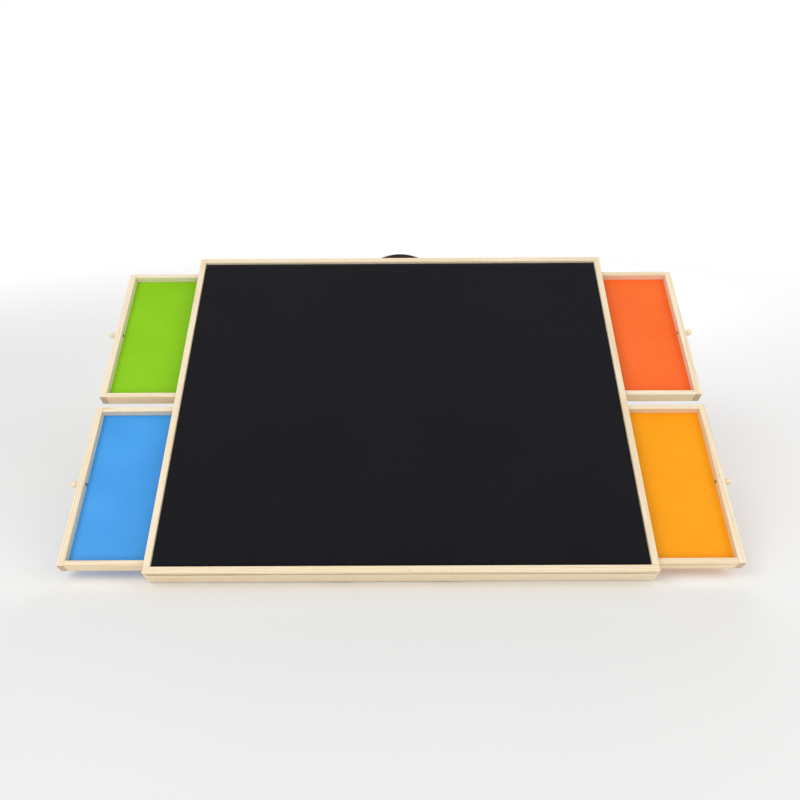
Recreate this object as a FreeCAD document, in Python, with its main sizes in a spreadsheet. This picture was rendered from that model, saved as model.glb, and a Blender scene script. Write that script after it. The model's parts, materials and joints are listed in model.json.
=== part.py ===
"""Jigsaw puzzle table: a felt-topped board with four drawers, propped on a stand with a turntable.

X runs across the table, Y from the player's edge to the handle edge, Z up. The origin is the middle
of the turntable's foot. The board, the prop, the stand and the turntable each have a frame of their
own, and every piece is drawn square in the frame of the assembly that it belongs to.
"""
import FreeCAD, Part
import os
import Sketcher

doc = FreeCAD.newDocument("PuzzleTable")
sheet = doc.addObject("Spreadsheet::Sheet", "Sizes")

# Driving dimensions in millimetres, angles in degrees.
DRIVING = {
    # board
    "table_width": 890,
    "table_depth": 735,
    "table_thickness": 44,
    "lip_width": 12,
    "lip_height": 7,
    "groove_height": 6,
    "groove_set_back": 3.5,
    "felt_thickness": 2,
    "felt_margin": 0.3,
    "rail_thickness": 10,
    "sheet_thickness": 3.5,
    "sheet_inset": 1,
    "recess_width": 249,
    "recess_depth": 27.5,
    "cross_piece_reach": 25.5,
    "cross_corner_radius": 12,
    "corner_relief": 0.4,
    "edge_round": 0.8,
    # tilt and pivots
    "tilt_angle": 36,
    "pivot_from_front": 36,
    "pivot_to_leg_pivot": 437,
    "pivot_to_swivel": 321,
    "pivot_block_length": 70,
    "pivot_block_front": 20,
    "hinge_pin_diameter": 8,
    "hinge_pin_head_diameter": 14,
    "hinge_pin_head_height": 3,
    "hinge_pin_grip": 18,
    "turning_clearance": 0.1,
    "side_clearance": 0.5,
    # drawers
    "drawer_front_margin": 18.5,
    "drawer_gap": 22.5,
    "drawer_back_margin": 31.5,
    "drawer_bay_spare": 15.5,
    "drawer_travel_out": 157,
    "drawer_front_thickness": 13,
    "drawer_wall": 10,
    "drawer_play": 1,
    "drawer_lift": 0.3,
    "drawer_headroom": 1.3,
    "drawer_depth": 15,
    "drawer_floor_thickness": 3,
    "drawer_floor_housing": 4,
    "knob_diameter": 12.5,
    "knob_length": 16,
    "knob_neck_diameter": 8,
    "knob_neck_length": 5,
    "knob_round": 3,
    "knob_screw_diameter": 3.5,
    "knob_screw_head_diameter": 7,
    "knob_screw_floor_gap": 0.3,
    "knob_screw_head_height": 2.2,
    "knob_screw_bite": 7,
    # prop
    "leg_width": 20,
    "leg_thickness": 15,
    "leg_tail": 9,
    "leg_tail_bevel": 8,
    "leg_rail_clearance": 2,
    "foot_bar_height": 10.4,
    "foot_bar_tenon": 7,
    "prop_lean": 2.5,
    "leg_bolt_diameter": 6,
    "leg_bolt_head_diameter": 13,
    "leg_bolt_head_height": 3.5,
    "leg_bolt_bite": 16,
    # stand
    "stand_rail_width": 20,
    "stand_rail_height": 24,
    "stand_end_margin": 43,
    "end_rail_thickness": 14,
    "rung_thickness": 16,
    "rung_drop": 2,
    "rung_offset": 85,
    "mounting_board_thickness": 5,
    "notch_depth": 5,
    "notch_ramp": 27,
    "notch_floor": 17,
    "first_notch_ramp": 30,
    "first_notch_floor": 40,
    "notch_clearance": 0.2,
    "spare_notch_count": 3,
    "notch_step": 49,
    "notch_long_step": 124,
    # turntable
    "disc_diameter": 268,
    "disc_thickness": 17.5,
    "disc_floor_gap": 3.5,
    "disc_wall": 14,
    "disc_roof": 6,
    "disc_round": 2,
    "base_pad_thickness": 2.5,
    "base_plate_thickness": 4,
    "base_plate_clearance": 6,
    "base_pad_setback": 4,
    "race_diameter": 125,
    "race_width": 26,
    "race_split": 2,
    "ball_diameter": 6,
    "ball_clearance": 0.3,
    "ball_count": 16,
    # handle and catch plate
    "handle_length": 206,
    "handle_rise": 29,
    "strap_width": 24,
    "strap_thickness": 4.3,
    "strap_fit": 0.3,
    "cap_length": 32,
    "cap_height": 30,
    "cap_wall": 1.5,
    "handle_screw_offset": 4,
    "handle_screw_diameter": 4,
    "handle_screw_head_diameter": 9,
    "handle_screw_head_height": 1.5,
    "handle_screw_bite": 7,
    "catch_plate_width": 66,
    "catch_plate_depth": 20,
    "catch_plate_thickness": 1.5,
    "catch_plate_setback": 1.5,
    "catch_screw_pitch": 22,
    "catch_screw_diameter": 3,
    "catch_screw_head_diameter": 6,
    "catch_screw_head_height": 1,
    "catch_screw_bite": 10,
    # how far a cutting tool runs past the wood
    "overrun": 5,
}
for row, (alias, value) in enumerate(DRIVING.items(), 1):
    sheet.set(f"A{row}", alias)
    sheet.set(f"B{row}", str(value))
    sheet.setAlias(f"B{row}", alias)
doc.recompute()


class Size:
    """A size worked out from the sheet, kept as the text of an expression."""

    def __init__(self, text):
        self.text = text

    def __add__(self, other):
        return Size(f"({self.text} + {text_of(other)})")

    def __sub__(self, other):
        return Size(f"({self.text} - {text_of(other)})")

    def __mul__(self, other):
        return Size(f"({self.text} * {text_of(other)})")

    def __rmul__(self, other):
        return Size(f"({text_of(other)} * {self.text})")

    def __truediv__(self, other):
        return Size(f"({self.text} / {text_of(other)})")

    def __neg__(self):
        return Size(f"(-1 * {self.text})")


class Sheet:
    """Gives each driving dimension by its name."""

    def __getattr__(self, alias):
        if alias not in DRIVING:
            raise AttributeError(alias)
        return Size(f"Sizes.{alias}")


def text_of(value):
    return value.text if isinstance(value, Size) else str(value)


def cosine(angle):
    return Size(f"cos({text_of(angle)})")


def sine(angle):
    return Size(f"sin({text_of(angle)})")


def root(value):
    return Size(f"sqrt({text_of(value)})")


size = Sheet()
X_AXIS = FreeCAD.Vector(1, 0, 0)
Y_AXIS = FreeCAD.Vector(0, 1, 0)
QUARTER_TURN = 90
FULL_TURN = 360
ALONG_X = FreeCAD.Rotation(Y_AXIS, QUARTER_TURN)
ALONG_Y = FreeCAD.Rotation(X_AXIS, -QUARTER_TURN)
ALONG_Z = FreeCAD.Rotation()
TOUCH = 1e-6
nodes = []


def move_to(thing, place, rotation=ALONG_Z):
    """Place a primitive: its rotation is fixed and its place follows the sheet."""
    thing.Placement = FreeCAD.Placement(FreeCAD.Vector(), rotation)
    for axis, value in zip("xyz", place):
        if isinstance(value, Size):
            thing.setExpression(f"Placement.Base.{axis}", value.text)


def join_frame(thing, frame):
    """Stand a finished piece in its assembly's frame, which turns about X only."""
    height_y, height_z, turn = frame
    if turn is not None:
        thing.Placement = FreeCAD.Placement(FreeCAD.Vector(), FreeCAD.Rotation(X_AXIS, QUARTER_TURN))
        thing.setExpression("Placement.Rotation.Angle", turn.text)
    if height_y is not None:
        thing.setExpression("Placement.Base.y", height_y.text)
        thing.setExpression("Placement.Base.z", height_z.text)


def set_sizes(thing, **values):
    for name, value in values.items():
        thing.setExpression(name, text_of(value))


def new_body(node, frame):
    body = doc.addObject("PartDesign::Body", node)
    body.Label = node
    join_frame(body, frame)
    nodes.append(body)
    return body


def box_in(body, low, extent, cut=False):
    """A box in a body from its low corner and its three sizes."""
    kind = "SubtractiveBox" if cut else "AdditiveBox"
    box = body.newObject(f"PartDesign::{kind}", f"{body.Name}_box")
    move_to(box, low)
    set_sizes(box, Length=extent[0], Width=extent[1], Height=extent[2])
    return box


def rod_in(body, start, rotation, radius, length, cut=False):
    """A cylinder in a body from the middle of its first end."""
    kind = "SubtractiveCylinder" if cut else "AdditiveCylinder"
    rod = body.newObject(f"PartDesign::{kind}", f"{body.Name}_rod")
    move_to(rod, start, rotation)
    set_sizes(rod, Radius=radius, Height=length)
    return rod


def soften(body, radius, wanted=lambda edge: True, kind="Fillet"):
    """Round or chamfer those edges of a body that the test picks."""
    doc.recompute()
    base = body.Tip
    edges = [f"Edge{i}" for i, edge in enumerate(base.Shape.Edges, 1) if wanted(edge)]
    feature = body.newObject(f"PartDesign::{kind}", f"{body.Name}_{kind.lower()}")
    feature.Base = (base, edges)
    set_sizes(feature, **{"Radius" if kind == "Fillet" else "Size": radius})
    return feature


def plank(node, frame, low, extent):
    """A straight piece of wood with its long edges softened."""
    body = new_body(node, frame)
    box_in(body, low, extent)
    soften(body, size.edge_round)
    return body


def cut_profile(body, points, width):
    """Pocket an outline of (y, z) points through a body, both ways from its middle plane."""
    sketch = body.newObject("Sketcher::SketchObject", f"{body.Name}_outline")
    plane = next(face for face in body.Origin.OriginFeatures if face.Role == "YZ_Plane")
    sketch.AttachmentSupport = (plane, "")
    sketch.MapMode = "FlatFace"
    doc.recompute()
    start = [FreeCAD.Vector(measure(y), measure(z), 0) for y, z in points]
    for here, there in zip(start, start[1:] + start[:1]):
        sketch.addGeometry(Part.LineSegment(here, there), False)
    for line in range(len(start)):
        sketch.addConstraint(Sketcher.Constraint("Coincident", line, 2, (line + 1) % len(start), 1))
    for line, (y, z) in enumerate(points):
        along = sketch.addConstraint(Sketcher.Constraint("DistanceX", -1, 1, line, 1, measure(y)))
        sketch.setExpression(f"Constraints[{along}]", text_of(y))
        above = sketch.addConstraint(Sketcher.Constraint("DistanceY", -1, 1, line, 1, measure(z)))
        sketch.setExpression(f"Constraints[{above}]", text_of(z))
    before = body.Shape.Volume
    pocket = body.newObject("PartDesign::Pocket", f"{body.Name}_pocket")
    pocket.Profile = sketch
    pocket.Midplane = True
    set_sizes(pocket, Length=width)
    doc.recompute()
    if not body.Shape.Volume < before:
        raise RuntimeError(f"{body.Label}: the pocket cuts nothing")


def measure(value):
    """The present value of a size, to start a sketch from."""
    return float(sheet.evalExpression(text_of(value)))


def loose_box(name, low, extent):
    box = doc.addObject("Part::Box", name)
    move_to(box, low)
    set_sizes(box, Length=extent[0], Width=extent[1], Height=extent[2])
    return box


def loose_rod(name, start, rotation, radius, length):
    rod = doc.addObject("Part::Cylinder", name)
    move_to(rod, start, rotation)
    set_sizes(rod, Radius=radius, Height=length)
    return rod


def joined(name, first, second):
    fuse = doc.addObject("Part::Fuse", name)
    fuse.Base = first
    fuse.Tool = second
    return fuse


def group(node, frame, pieces):
    """Like pieces that share a node, as separate solids."""
    compound = doc.addObject("Part::Compound", node)
    compound.Label = node
    compound.Links = pieces
    join_frame(compound, frame)
    nodes.append(compound)
    return compound


# Frames: (y, z, turn about X). The board and the stand start at the pivot between them.
disc_top = size.disc_floor_gap + size.disc_thickness
pivot_y = -size.pivot_to_swivel
pivot_z = disc_top + size.stand_rail_height / 2
leg_pivot_y = pivot_y + size.pivot_to_leg_pivot * cosine(size.tilt_angle)
leg_pivot_z = pivot_z + size.pivot_to_leg_pivot * sine(size.tilt_angle)
TURNTABLE = (None, None, None)
STAND = (pivot_y, pivot_z, None)
BOARD = (pivot_y, pivot_z, size.tilt_angle)
PROP = (leg_pivot_y, leg_pivot_z, size.prop_lean)

# Levels of the board: the folded stand's rails lie flush with its underside.
half_width = size.table_width / 2
front = -size.pivot_from_front
back = front + size.table_depth
underside = -(size.stand_rail_height / 2)
table_top = underside + size.table_thickness
rail_height = size.table_thickness - size.lip_height - size.groove_height
rail_top = underside + rail_height
sheet_low = underside + size.sheet_inset
sheet_top = sheet_low + size.sheet_thickness
inner_front = front + size.rail_thickness
inner_back = back - size.rail_thickness
recess_half = size.recess_width / 2
recess_outer = recess_half + size.rail_thickness
cross_front = back - size.cross_piece_reach
recess_ceiling = underside + size.recess_depth
catch_middle = cross_front + size.catch_plate_setback + size.catch_plate_depth / 2

# Each side has two drawers of one size, which fill its length but for the margins and the gap.
margins = size.drawer_front_margin + size.drawer_gap + size.drawer_back_margin
drawer_length = (size.table_depth - margins) / 2
drawer_reach = half_width - recess_outer - size.drawer_bay_spare

# Widths across the recess: centre rail, leg, then the stand's side rail.
leg_outer = recess_half - size.side_clearance
stand_half = leg_outer - size.leg_width - size.leg_rail_clearance
stand_inner = stand_half - size.stand_rail_width

# The handle's caps and strap lie on the back face, in line with the middle of the back rail.
strap_middle = underside + rail_height / 2
cap_middle = size.handle_length / 2 - size.cap_length / 2
cap_screw_x = cap_middle - size.handle_screw_offset
strap_slot = size.strap_thickness + size.strap_fit

# The prop reaches from the leg pivot down to the foot bar on the floor of the first notch.
half_leg = size.leg_thickness / 2
notch_floor_z = size.stand_rail_height / 2 - size.notch_depth
corner_reach = size.pivot_to_leg_pivot * sine(size.tilt_angle) - notch_floor_z - size.notch_clearance
bar_bottom = root(corner_reach * corner_reach - half_leg * half_leg)
leg_length = bar_bottom + size.leg_tail

# The stand runs on past the back wall of its last notch.
first_wall_reach = size.pivot_to_leg_pivot * cosine(size.tilt_angle) + half_leg + size.notch_clearance
first_wall = first_wall_reach + bar_bottom * sine(size.prop_lean)
spare_wall = first_wall + size.notch_long_step
last_wall = spare_wall + size.notch_step * (size.spare_notch_count - 1)
stand_length = last_wall + size.stand_end_margin

# A notch's ramp is drawn on past the top of the rail, at the same slope.
above_share = (size.notch_depth + size.overrun) / size.notch_depth


def make_lip():
    """Four strips around the felt, standing over the edge of the top panel."""
    low = table_top - size.lip_height
    side_length = size.table_depth - size.lip_width * 2
    across = (size.table_width, size.lip_width, size.lip_height)
    along = (size.lip_width, side_length, size.lip_height)
    plank("lip_front", BOARD, (-half_width, front, low), across)
    plank("lip_back", BOARD, (-half_width, back - size.lip_width, low), across)
    plank("lip_left", BOARD, (-half_width, front + size.lip_width, low), along)
    plank("lip_right", BOARD, (half_width - size.lip_width, front + size.lip_width, low), along)


def make_top():
    """The top panel, whose set-back edge makes the groove, and the felt on it."""
    body = new_body("top_panel", BOARD)
    set_back = size.groove_set_back
    box_in(
        body,
        (-half_width + set_back, front + set_back, rail_top),
        (size.table_width - set_back * 2, size.table_depth - set_back * 2, size.groove_height),
    )
    felt = new_body("play_felt", BOARD)
    edge = size.lip_width + size.felt_margin
    box_in(
        felt,
        (-half_width + edge, front + edge, rail_top + size.groove_height),
        (size.table_width - edge * 2, size.table_depth - edge * 2, size.felt_thickness),
    )


def make_rails():
    """Front, back and centre rails, and the cross piece with its two hollow corners."""
    across = (size.table_width, size.rail_thickness, rail_height)
    plank("front_rail", BOARD, (-half_width, front, underside), across)
    back_rail = plank("back_rail", BOARD, (-half_width, inner_back, underside), across)
    for side in (-1, 1):
        rod_in(
            back_rail,
            (side * cap_screw_x, back - size.handle_screw_bite, strap_middle),
            ALONG_Y,
            size.handle_screw_diameter / 2,
            size.handle_screw_bite + size.overrun,
            cut=True,
        )
    along = (size.rail_thickness, cross_front - inner_front, rail_height)
    bore_radius = size.leg_bolt_diameter / 2
    for node, low_x in (("centre_rail_left", -recess_outer), ("centre_rail_right", recess_half)):
        rail = plank(node, BOARD, (low_x, inner_front, underside), along)
        start = (low_x - size.overrun, size.pivot_to_leg_pivot, 0)
        rod_in(rail, start, ALONG_X, bore_radius, size.rail_thickness + size.overrun * 2, cut=True)
    cross = new_body("cross_piece", BOARD)
    radius = size.cross_corner_radius
    depth = inner_back - cross_front
    box_in(cross, (-recess_outer, cross_front, underside), (recess_outer * 2, depth, rail_height))
    ear_front = inner_back - radius
    ear_width = (recess_outer + radius) * 2
    ear_height = sheet_top - underside
    box_in(cross, (-(recess_outer + radius), ear_front, underside), (ear_width, radius, ear_height))
    for side in (-1, 1):
        start = (side * (recess_outer + radius), ear_front, underside - size.overrun)
        rod_in(cross, start, ALONG_Z, radius, ear_height + size.overrun, cut=True)
    for index in (-1, 0, 1):
        start = (index * size.catch_screw_pitch, catch_middle, underside - size.overrun)
        bite = size.overrun + size.catch_screw_bite
        rod_in(cross, start, ALONG_Z, size.catch_screw_diameter / 2, bite, cut=True)


def make_sheets():
    """The brown sheets: one under each side of the board and the ceiling of the recess."""
    width = half_width - recess_outer
    depth = inner_back - inner_front
    radius = size.cross_corner_radius + size.corner_relief
    for node, low_x, inner_x in (
        ("underside_sheet_left", -half_width, -recess_outer),
        ("underside_sheet_right", recess_outer, recess_outer),
    ):
        body = new_body(node, BOARD)
        box_in(body, (low_x, inner_front, sheet_low), (width, depth, size.sheet_thickness))
        corner = FreeCAD.Vector(measure(inner_x), measure(inner_back), 0)

        def at_corner(edge):
            middle = edge.BoundBox.Center
            middle.z = 0
            return is_upright(edge) and middle.distanceToPoint(corner) < TOUCH

        soften(body, radius, at_corner)
    ceiling = new_body("recess_sheet", BOARD)
    box_in(
        ceiling,
        (-recess_half, inner_front, recess_ceiling),
        (size.recess_width, cross_front - inner_front, rail_top - recess_ceiling),
    )


def is_upright(edge):
    box = edge.BoundBox
    return box.ZLength > box.XLength and box.ZLength > box.YLength


def drawer_starts():
    """Where each drawer's bay begins along Y, nearest the player first."""
    near = front + size.drawer_front_margin
    return near, near + drawer_length + size.drawer_gap


def make_guides():
    """Three guides on each side, which part the drawer bays and show as posts in the side face."""
    near, far = drawer_starts()
    far_end = far + drawer_length
    bands = ((inner_front, near), (near + drawer_length, far), (far_end, inner_back))
    for node, low_x in (("drawer_guides_left", -half_width), ("drawer_guides_right", recess_outer)):
        pieces = [
            loose_box(
                f"{node}_{index}",
                (low_x, low_y, sheet_top),
                (half_width - recess_outer, high_y - low_y, rail_top - sheet_top),
            )
            for index, (low_y, high_y) in enumerate(bands)
        ]
        group(node, BOARD, pieces)


def make_pivot_blocks():
    """Blocks inside the centre rails that the hinge pins turn in."""
    block_inner = stand_half + size.side_clearance
    width = recess_half - block_inner
    radius = size.hinge_pin_diameter / 2 + size.turning_clearance
    blocks = []
    for side, low_x in ((-1, -recess_half), (1, block_inner)):
        block = loose_box(
            f"pivot_block_{side + 1}",
            (low_x, -size.pivot_block_front, underside),
            (width, size.pivot_block_length, size.recess_depth),
        )
        start = (low_x - size.overrun, 0, 0)
        bore = loose_rod(f"pivot_bore_{side + 1}", start, ALONG_X, radius, width + size.overrun * 2)
        cut = doc.addObject("Part::Cut", f"pivot_bored_{side + 1}")
        cut.Base = block
        cut.Tool = bore
        blocks.append(cut)
    group("pivot_blocks", BOARD, blocks)


def make_leg_bolts():
    """Bolts through the centre rails into the legs, with their heads in the drawer bays."""
    shank = size.rail_thickness + size.side_clearance + size.leg_bolt_bite
    reach = recess_outer - shank
    bolts = []
    for side, shank_x, head_x in (
        (-1, -recess_outer, -recess_outer - size.leg_bolt_head_height),
        (1, reach, recess_outer),
    ):
        at = size.pivot_to_leg_pivot
        radius = size.leg_bolt_diameter / 2
        rod = loose_rod(f"leg_bolt_shank_{side + 1}", (shank_x, at, 0), ALONG_X, radius, shank)
        head_radius = size.leg_bolt_head_diameter / 2
        head_height = size.leg_bolt_head_height
        head = loose_rod(f"leg_bolt_head_{side + 1}", (head_x, at, 0), ALONG_X, head_radius, head_height)
        bolts.append(joined(f"leg_bolt_{side + 1}", rod, head))
    group("leg_bolts", BOARD, bolts)


def make_handle():
    """A strap that bows away from the back face, its ends under two metal caps with a screw each."""
    tab_inner = size.handle_length / 2 - size.cap_length
    tab_outer = size.handle_length / 2 - size.cap_wall - size.strap_fit
    sagitta = size.handle_rise - size.strap_thickness
    outer_radius = (tab_inner * tab_inner + sagitta * sagitta) / (sagitta * 2)
    centre_y = back + size.handle_rise - outer_radius
    low_z = strap_middle - size.strap_width / 2
    strap = new_body("handle_strap", BOARD)
    rod_in(strap, (0, centre_y, low_z), ALONG_Z, outer_radius, size.strap_width)
    tool_z = low_z - size.overrun
    tool_height = size.strap_width + size.overrun * 2
    inner_radius = outer_radius - size.strap_thickness
    rod_in(strap, (0, centre_y, tool_z), ALONG_Z, inner_radius, tool_height, cut=True)
    reach = outer_radius + size.overrun
    box_in(strap, (-reach, back - reach * 2, tool_z), (reach * 2, reach * 2, tool_height), cut=True)
    tab_length = tab_outer - tab_inner
    tab = (tab_length, size.strap_thickness, size.strap_width)
    box_in(strap, (tab_inner, back, low_z), tab)
    box_in(strap, (-tab_outer, back, low_z), tab)
    shank_radius = size.handle_screw_diameter / 2
    caps = []
    screws = []
    for side in (-1, 1):
        screw_x = side * cap_screw_x
        through = (screw_x, back - size.overrun, strap_middle)
        rod_in(strap, through, ALONG_Y, shank_radius, strap_slot + size.overrun * 2, cut=True)
        low_x = side * cap_middle - size.cap_length / 2
        cap_depth = strap_slot + size.cap_wall
        outside = loose_box(
            f"cap_outside_{side + 1}",
            (low_x, back, strap_middle - size.cap_height / 2),
            (size.cap_length, cap_depth, size.cap_height),
        )
        slot_width = size.strap_width + size.strap_fit * 2
        slot = loose_box(
            f"cap_slot_{side + 1}",
            (low_x - side * size.cap_wall, back - size.overrun, strap_middle - slot_width / 2),
            (size.cap_length, strap_slot + size.overrun, slot_width),
        )
        hole_length = cap_depth + size.overrun * 2
        hole = loose_rod(f"cap_hole_{side + 1}", through, ALONG_Y, shank_radius, hole_length)
        cuts = joined(f"cap_tools_{side + 1}", slot, hole)
        cap = doc.addObject("Part::Cut", f"cap_{side + 1}")
        cap.Base = outside
        cap.Tool = cuts
        caps.append(cap)
        bite = size.handle_screw_bite
        shank = loose_rod(
            f"handle_shank_{side + 1}",
            (screw_x, back - bite, strap_middle),
            ALONG_Y,
            shank_radius,
            bite + cap_depth,
        )
        head = loose_rod(
            f"handle_head_{side + 1}",
            (screw_x, back + cap_depth, strap_middle),
            ALONG_Y,
            size.handle_screw_head_diameter / 2,
            size.handle_screw_head_height,
        )
        screws.append(joined(f"handle_screw_{side + 1}", shank, head))
    group("handle_caps", BOARD, caps)
    group("handle_screws", BOARD, screws)


def make_catch_plate():
    """A plate under the cross piece, held by a row of screws."""
    plate = new_body("catch_plate", BOARD)
    low_z = underside - size.catch_plate_thickness
    box_in(
        plate,
        (-(size.catch_plate_width / 2), catch_middle - size.catch_plate_depth / 2, low_z),
        (size.catch_plate_width, size.catch_plate_depth, size.catch_plate_thickness),
    )
    shank_radius = size.catch_screw_diameter / 2
    screws = []
    for index in (-1, 0, 1):
        at_x = index * size.catch_screw_pitch
        hole_z = low_z - size.overrun
        tool_length = size.catch_plate_thickness + size.overrun * 2
        rod_in(plate, (at_x, catch_middle, hole_z), ALONG_Z, shank_radius, tool_length, cut=True)
        shank = loose_rod(
            f"catch_shank_{index + 1}",
            (at_x, catch_middle, low_z),
            ALONG_Z,
            shank_radius,
            size.catch_plate_thickness + size.catch_screw_bite,
        )
        head = loose_rod(
            f"catch_head_{index + 1}",
            (at_x, catch_middle, low_z - size.catch_screw_head_height),
            ALONG_Z,
            size.catch_screw_head_diameter / 2,
            size.catch_screw_head_height,
        )
        screws.append(joined(f"catch_screw_{index + 1}", shank, head))
    group("catch_screws", BOARD, screws)


def make_drawer(name, side, bay_start):
    """One tray, drawn pulled out: side is 1 on the right of the table and -1 on the left."""
    wall = size.drawer_wall
    outer_x = half_width + size.drawer_travel_out
    front_x = outer_x - size.drawer_front_thickness
    inner_x = outer_x - drawer_reach
    low_y = bay_start + size.drawer_play
    length = drawer_length - size.drawer_play * 2
    low_z = sheet_top + size.drawer_lift
    height = rail_top - size.drawer_headroom - low_z
    floor_z = low_z + height - size.drawer_depth - size.drawer_floor_thickness
    housing = size.drawer_floor_housing

    def low_of(near, far):
        """The low X of a stretch that runs from near to far out from the table's middle."""
        return near if side > 0 else -far

    left_of_wall = wall - housing
    floor_low = (low_of(inner_x + left_of_wall, front_x + housing), low_y + left_of_wall, floor_z)
    floor_reach = front_x + housing - inner_x - left_of_wall
    floor_across = length - left_of_wall * 2
    floor_extent = (floor_reach, floor_across, size.drawer_floor_thickness)

    drawer_front = new_body(f"{name}_drawer_front", BOARD)
    box_in(drawer_front, (low_of(front_x, outer_x), low_y, low_z), (size.drawer_front_thickness, length, height))
    soften(drawer_front, size.edge_round)
    box_in(
        drawer_front,
        (low_of(front_x, front_x + housing), low_y + left_of_wall, floor_z),
        (housing, floor_across, size.drawer_floor_thickness),
        cut=True,
    )
    middle_y = low_y + length / 2
    sink = size.knob_screw_head_height
    head_radius = size.knob_screw_head_diameter / 2
    middle_z = floor_z + size.drawer_floor_thickness + size.knob_screw_floor_gap + head_radius
    bore_radius = size.knob_screw_diameter / 2
    bore = (low_of(front_x - size.overrun, outer_x + size.overrun), middle_y, middle_z)
    rod_in(drawer_front, bore, ALONG_X, bore_radius, size.drawer_front_thickness + size.overrun * 2, cut=True)
    sunk = (low_of(front_x - size.overrun, front_x + sink), middle_y, middle_z)
    rod_in(drawer_front, sunk, ALONG_X, head_radius, sink + size.overrun, cut=True)

    side_x = low_of(inner_x, front_x)
    side_length = front_x - inner_x
    across = length - wall * 2
    walls = []
    for part, low, extent in (
        ("near", (side_x, low_y, low_z), (side_length, wall, height)),
        ("far", (side_x, low_y + length - wall, low_z), (side_length, wall, height)),
        ("back", (low_of(inner_x, inner_x + wall), low_y + wall, low_z), (wall, across, height)),
    ):
        board = loose_box(f"{name}_{part}_board", low, extent)
        cut = doc.addObject("Part::Cut", f"{name}_{part}_wall")
        cut.Base = board
        cut.Tool = loose_box(f"{name}_{part}_slot", floor_low, floor_extent)
        walls.append(cut)
    group(f"{name}_drawer_walls", BOARD, walls)

    floor = new_body(f"{name}_drawer_floor", BOARD)
    box_in(floor, floor_low, floor_extent)

    knob = new_body(f"{name}_drawer_knob", BOARD)
    neck_end = outer_x + size.knob_neck_length
    neck = (low_of(outer_x, neck_end), middle_y, middle_z)
    rod_in(knob, neck, ALONG_X, size.knob_neck_diameter / 2, size.knob_neck_length)
    grip = (low_of(neck_end, outer_x + size.knob_length), middle_y, middle_z)
    rod_in(knob, grip, ALONG_X, size.knob_diameter / 2, size.knob_length - size.knob_neck_length)
    tip_x = measure(outer_x + size.knob_length)
    soften(knob, size.knob_round, lambda edge: abs(abs(edge.BoundBox.Center.x) - tip_x) < TOUCH)
    screw_tip = outer_x + size.knob_screw_bite
    bore = (low_of(outer_x - size.overrun, screw_tip), middle_y, middle_z)
    rod_in(knob, bore, ALONG_X, bore_radius, size.overrun + size.knob_screw_bite, cut=True)

    shank = loose_rod(
        f"{name}_screw_shank",
        (low_of(front_x, screw_tip), middle_y, middle_z),
        ALONG_X,
        bore_radius,
        size.drawer_front_thickness + size.knob_screw_bite,
    )
    head = loose_rod(
        f"{name}_screw_head",
        (low_of(front_x, front_x + sink), middle_y, middle_z),
        ALONG_X,
        head_radius,
        sink,
    )
    group(f"{name}_knob_screw", BOARD, [joined(f"{name}_screw", shank, head)])


def make_prop():
    """Two legs and the foot bar, whose tenons go through the legs."""
    tenon_width = size.foot_bar_tenon
    leg_inner = leg_outer - size.leg_width
    bore_radius = size.leg_bolt_diameter / 2 + size.turning_clearance
    bore_depth = size.leg_bolt_bite + size.turning_clearance
    bore_length = bore_depth + size.overrun
    for node, low_x, bore_x in (
        ("leg_left", -leg_outer, -leg_outer - size.overrun),
        ("leg_right", leg_inner, leg_outer - bore_depth),
    ):
        leg = new_body(node, PROP)
        box_in(leg, (low_x, -half_leg, -leg_length), (size.leg_width, size.leg_thickness, leg_length))
        rod_in(leg, (low_x, 0, 0), ALONG_X, half_leg, size.leg_width)
        tail = FreeCAD.Vector(0, measure(half_leg), measure(-leg_length))

        def at_tail(edge):
            middle = edge.BoundBox.Center
            middle.x = 0
            return middle.distanceToPoint(tail) < TOUCH

        soften(leg, size.leg_tail_bevel, at_tail, kind="Chamfer")
        soften(leg, size.edge_round, is_upright)
        rod_in(leg, (bore_x, 0, 0), ALONG_X, bore_radius, bore_length, cut=True)
        box_in(
            leg,
            (low_x - size.overrun, -(tenon_width / 2), -bar_bottom),
            (size.leg_width + size.overrun * 2, tenon_width, size.foot_bar_height),
            cut=True,
        )
    bar = new_body("foot_bar", PROP)
    height = size.foot_bar_height
    box_in(bar, (-leg_inner, -half_leg, -bar_bottom), (leg_inner * 2, size.leg_thickness, height))
    box_in(bar, (-leg_outer, -(tenon_width / 2), -bar_bottom), (leg_outer * 2, tenon_width, height))


def notches():
    """Back wall, floor and ramp of every notch along the stand, the occupied one first.

    The first has a longer floor, so that the foot bar can swing out of it towards the pivot.
    """
    found = [(first_wall, size.first_notch_floor, size.first_notch_ramp)]
    for index in range(int(measure(size.spare_notch_count))):
        found.append((spare_wall + size.notch_step * index, size.notch_floor, size.notch_ramp))
    return found


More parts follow.
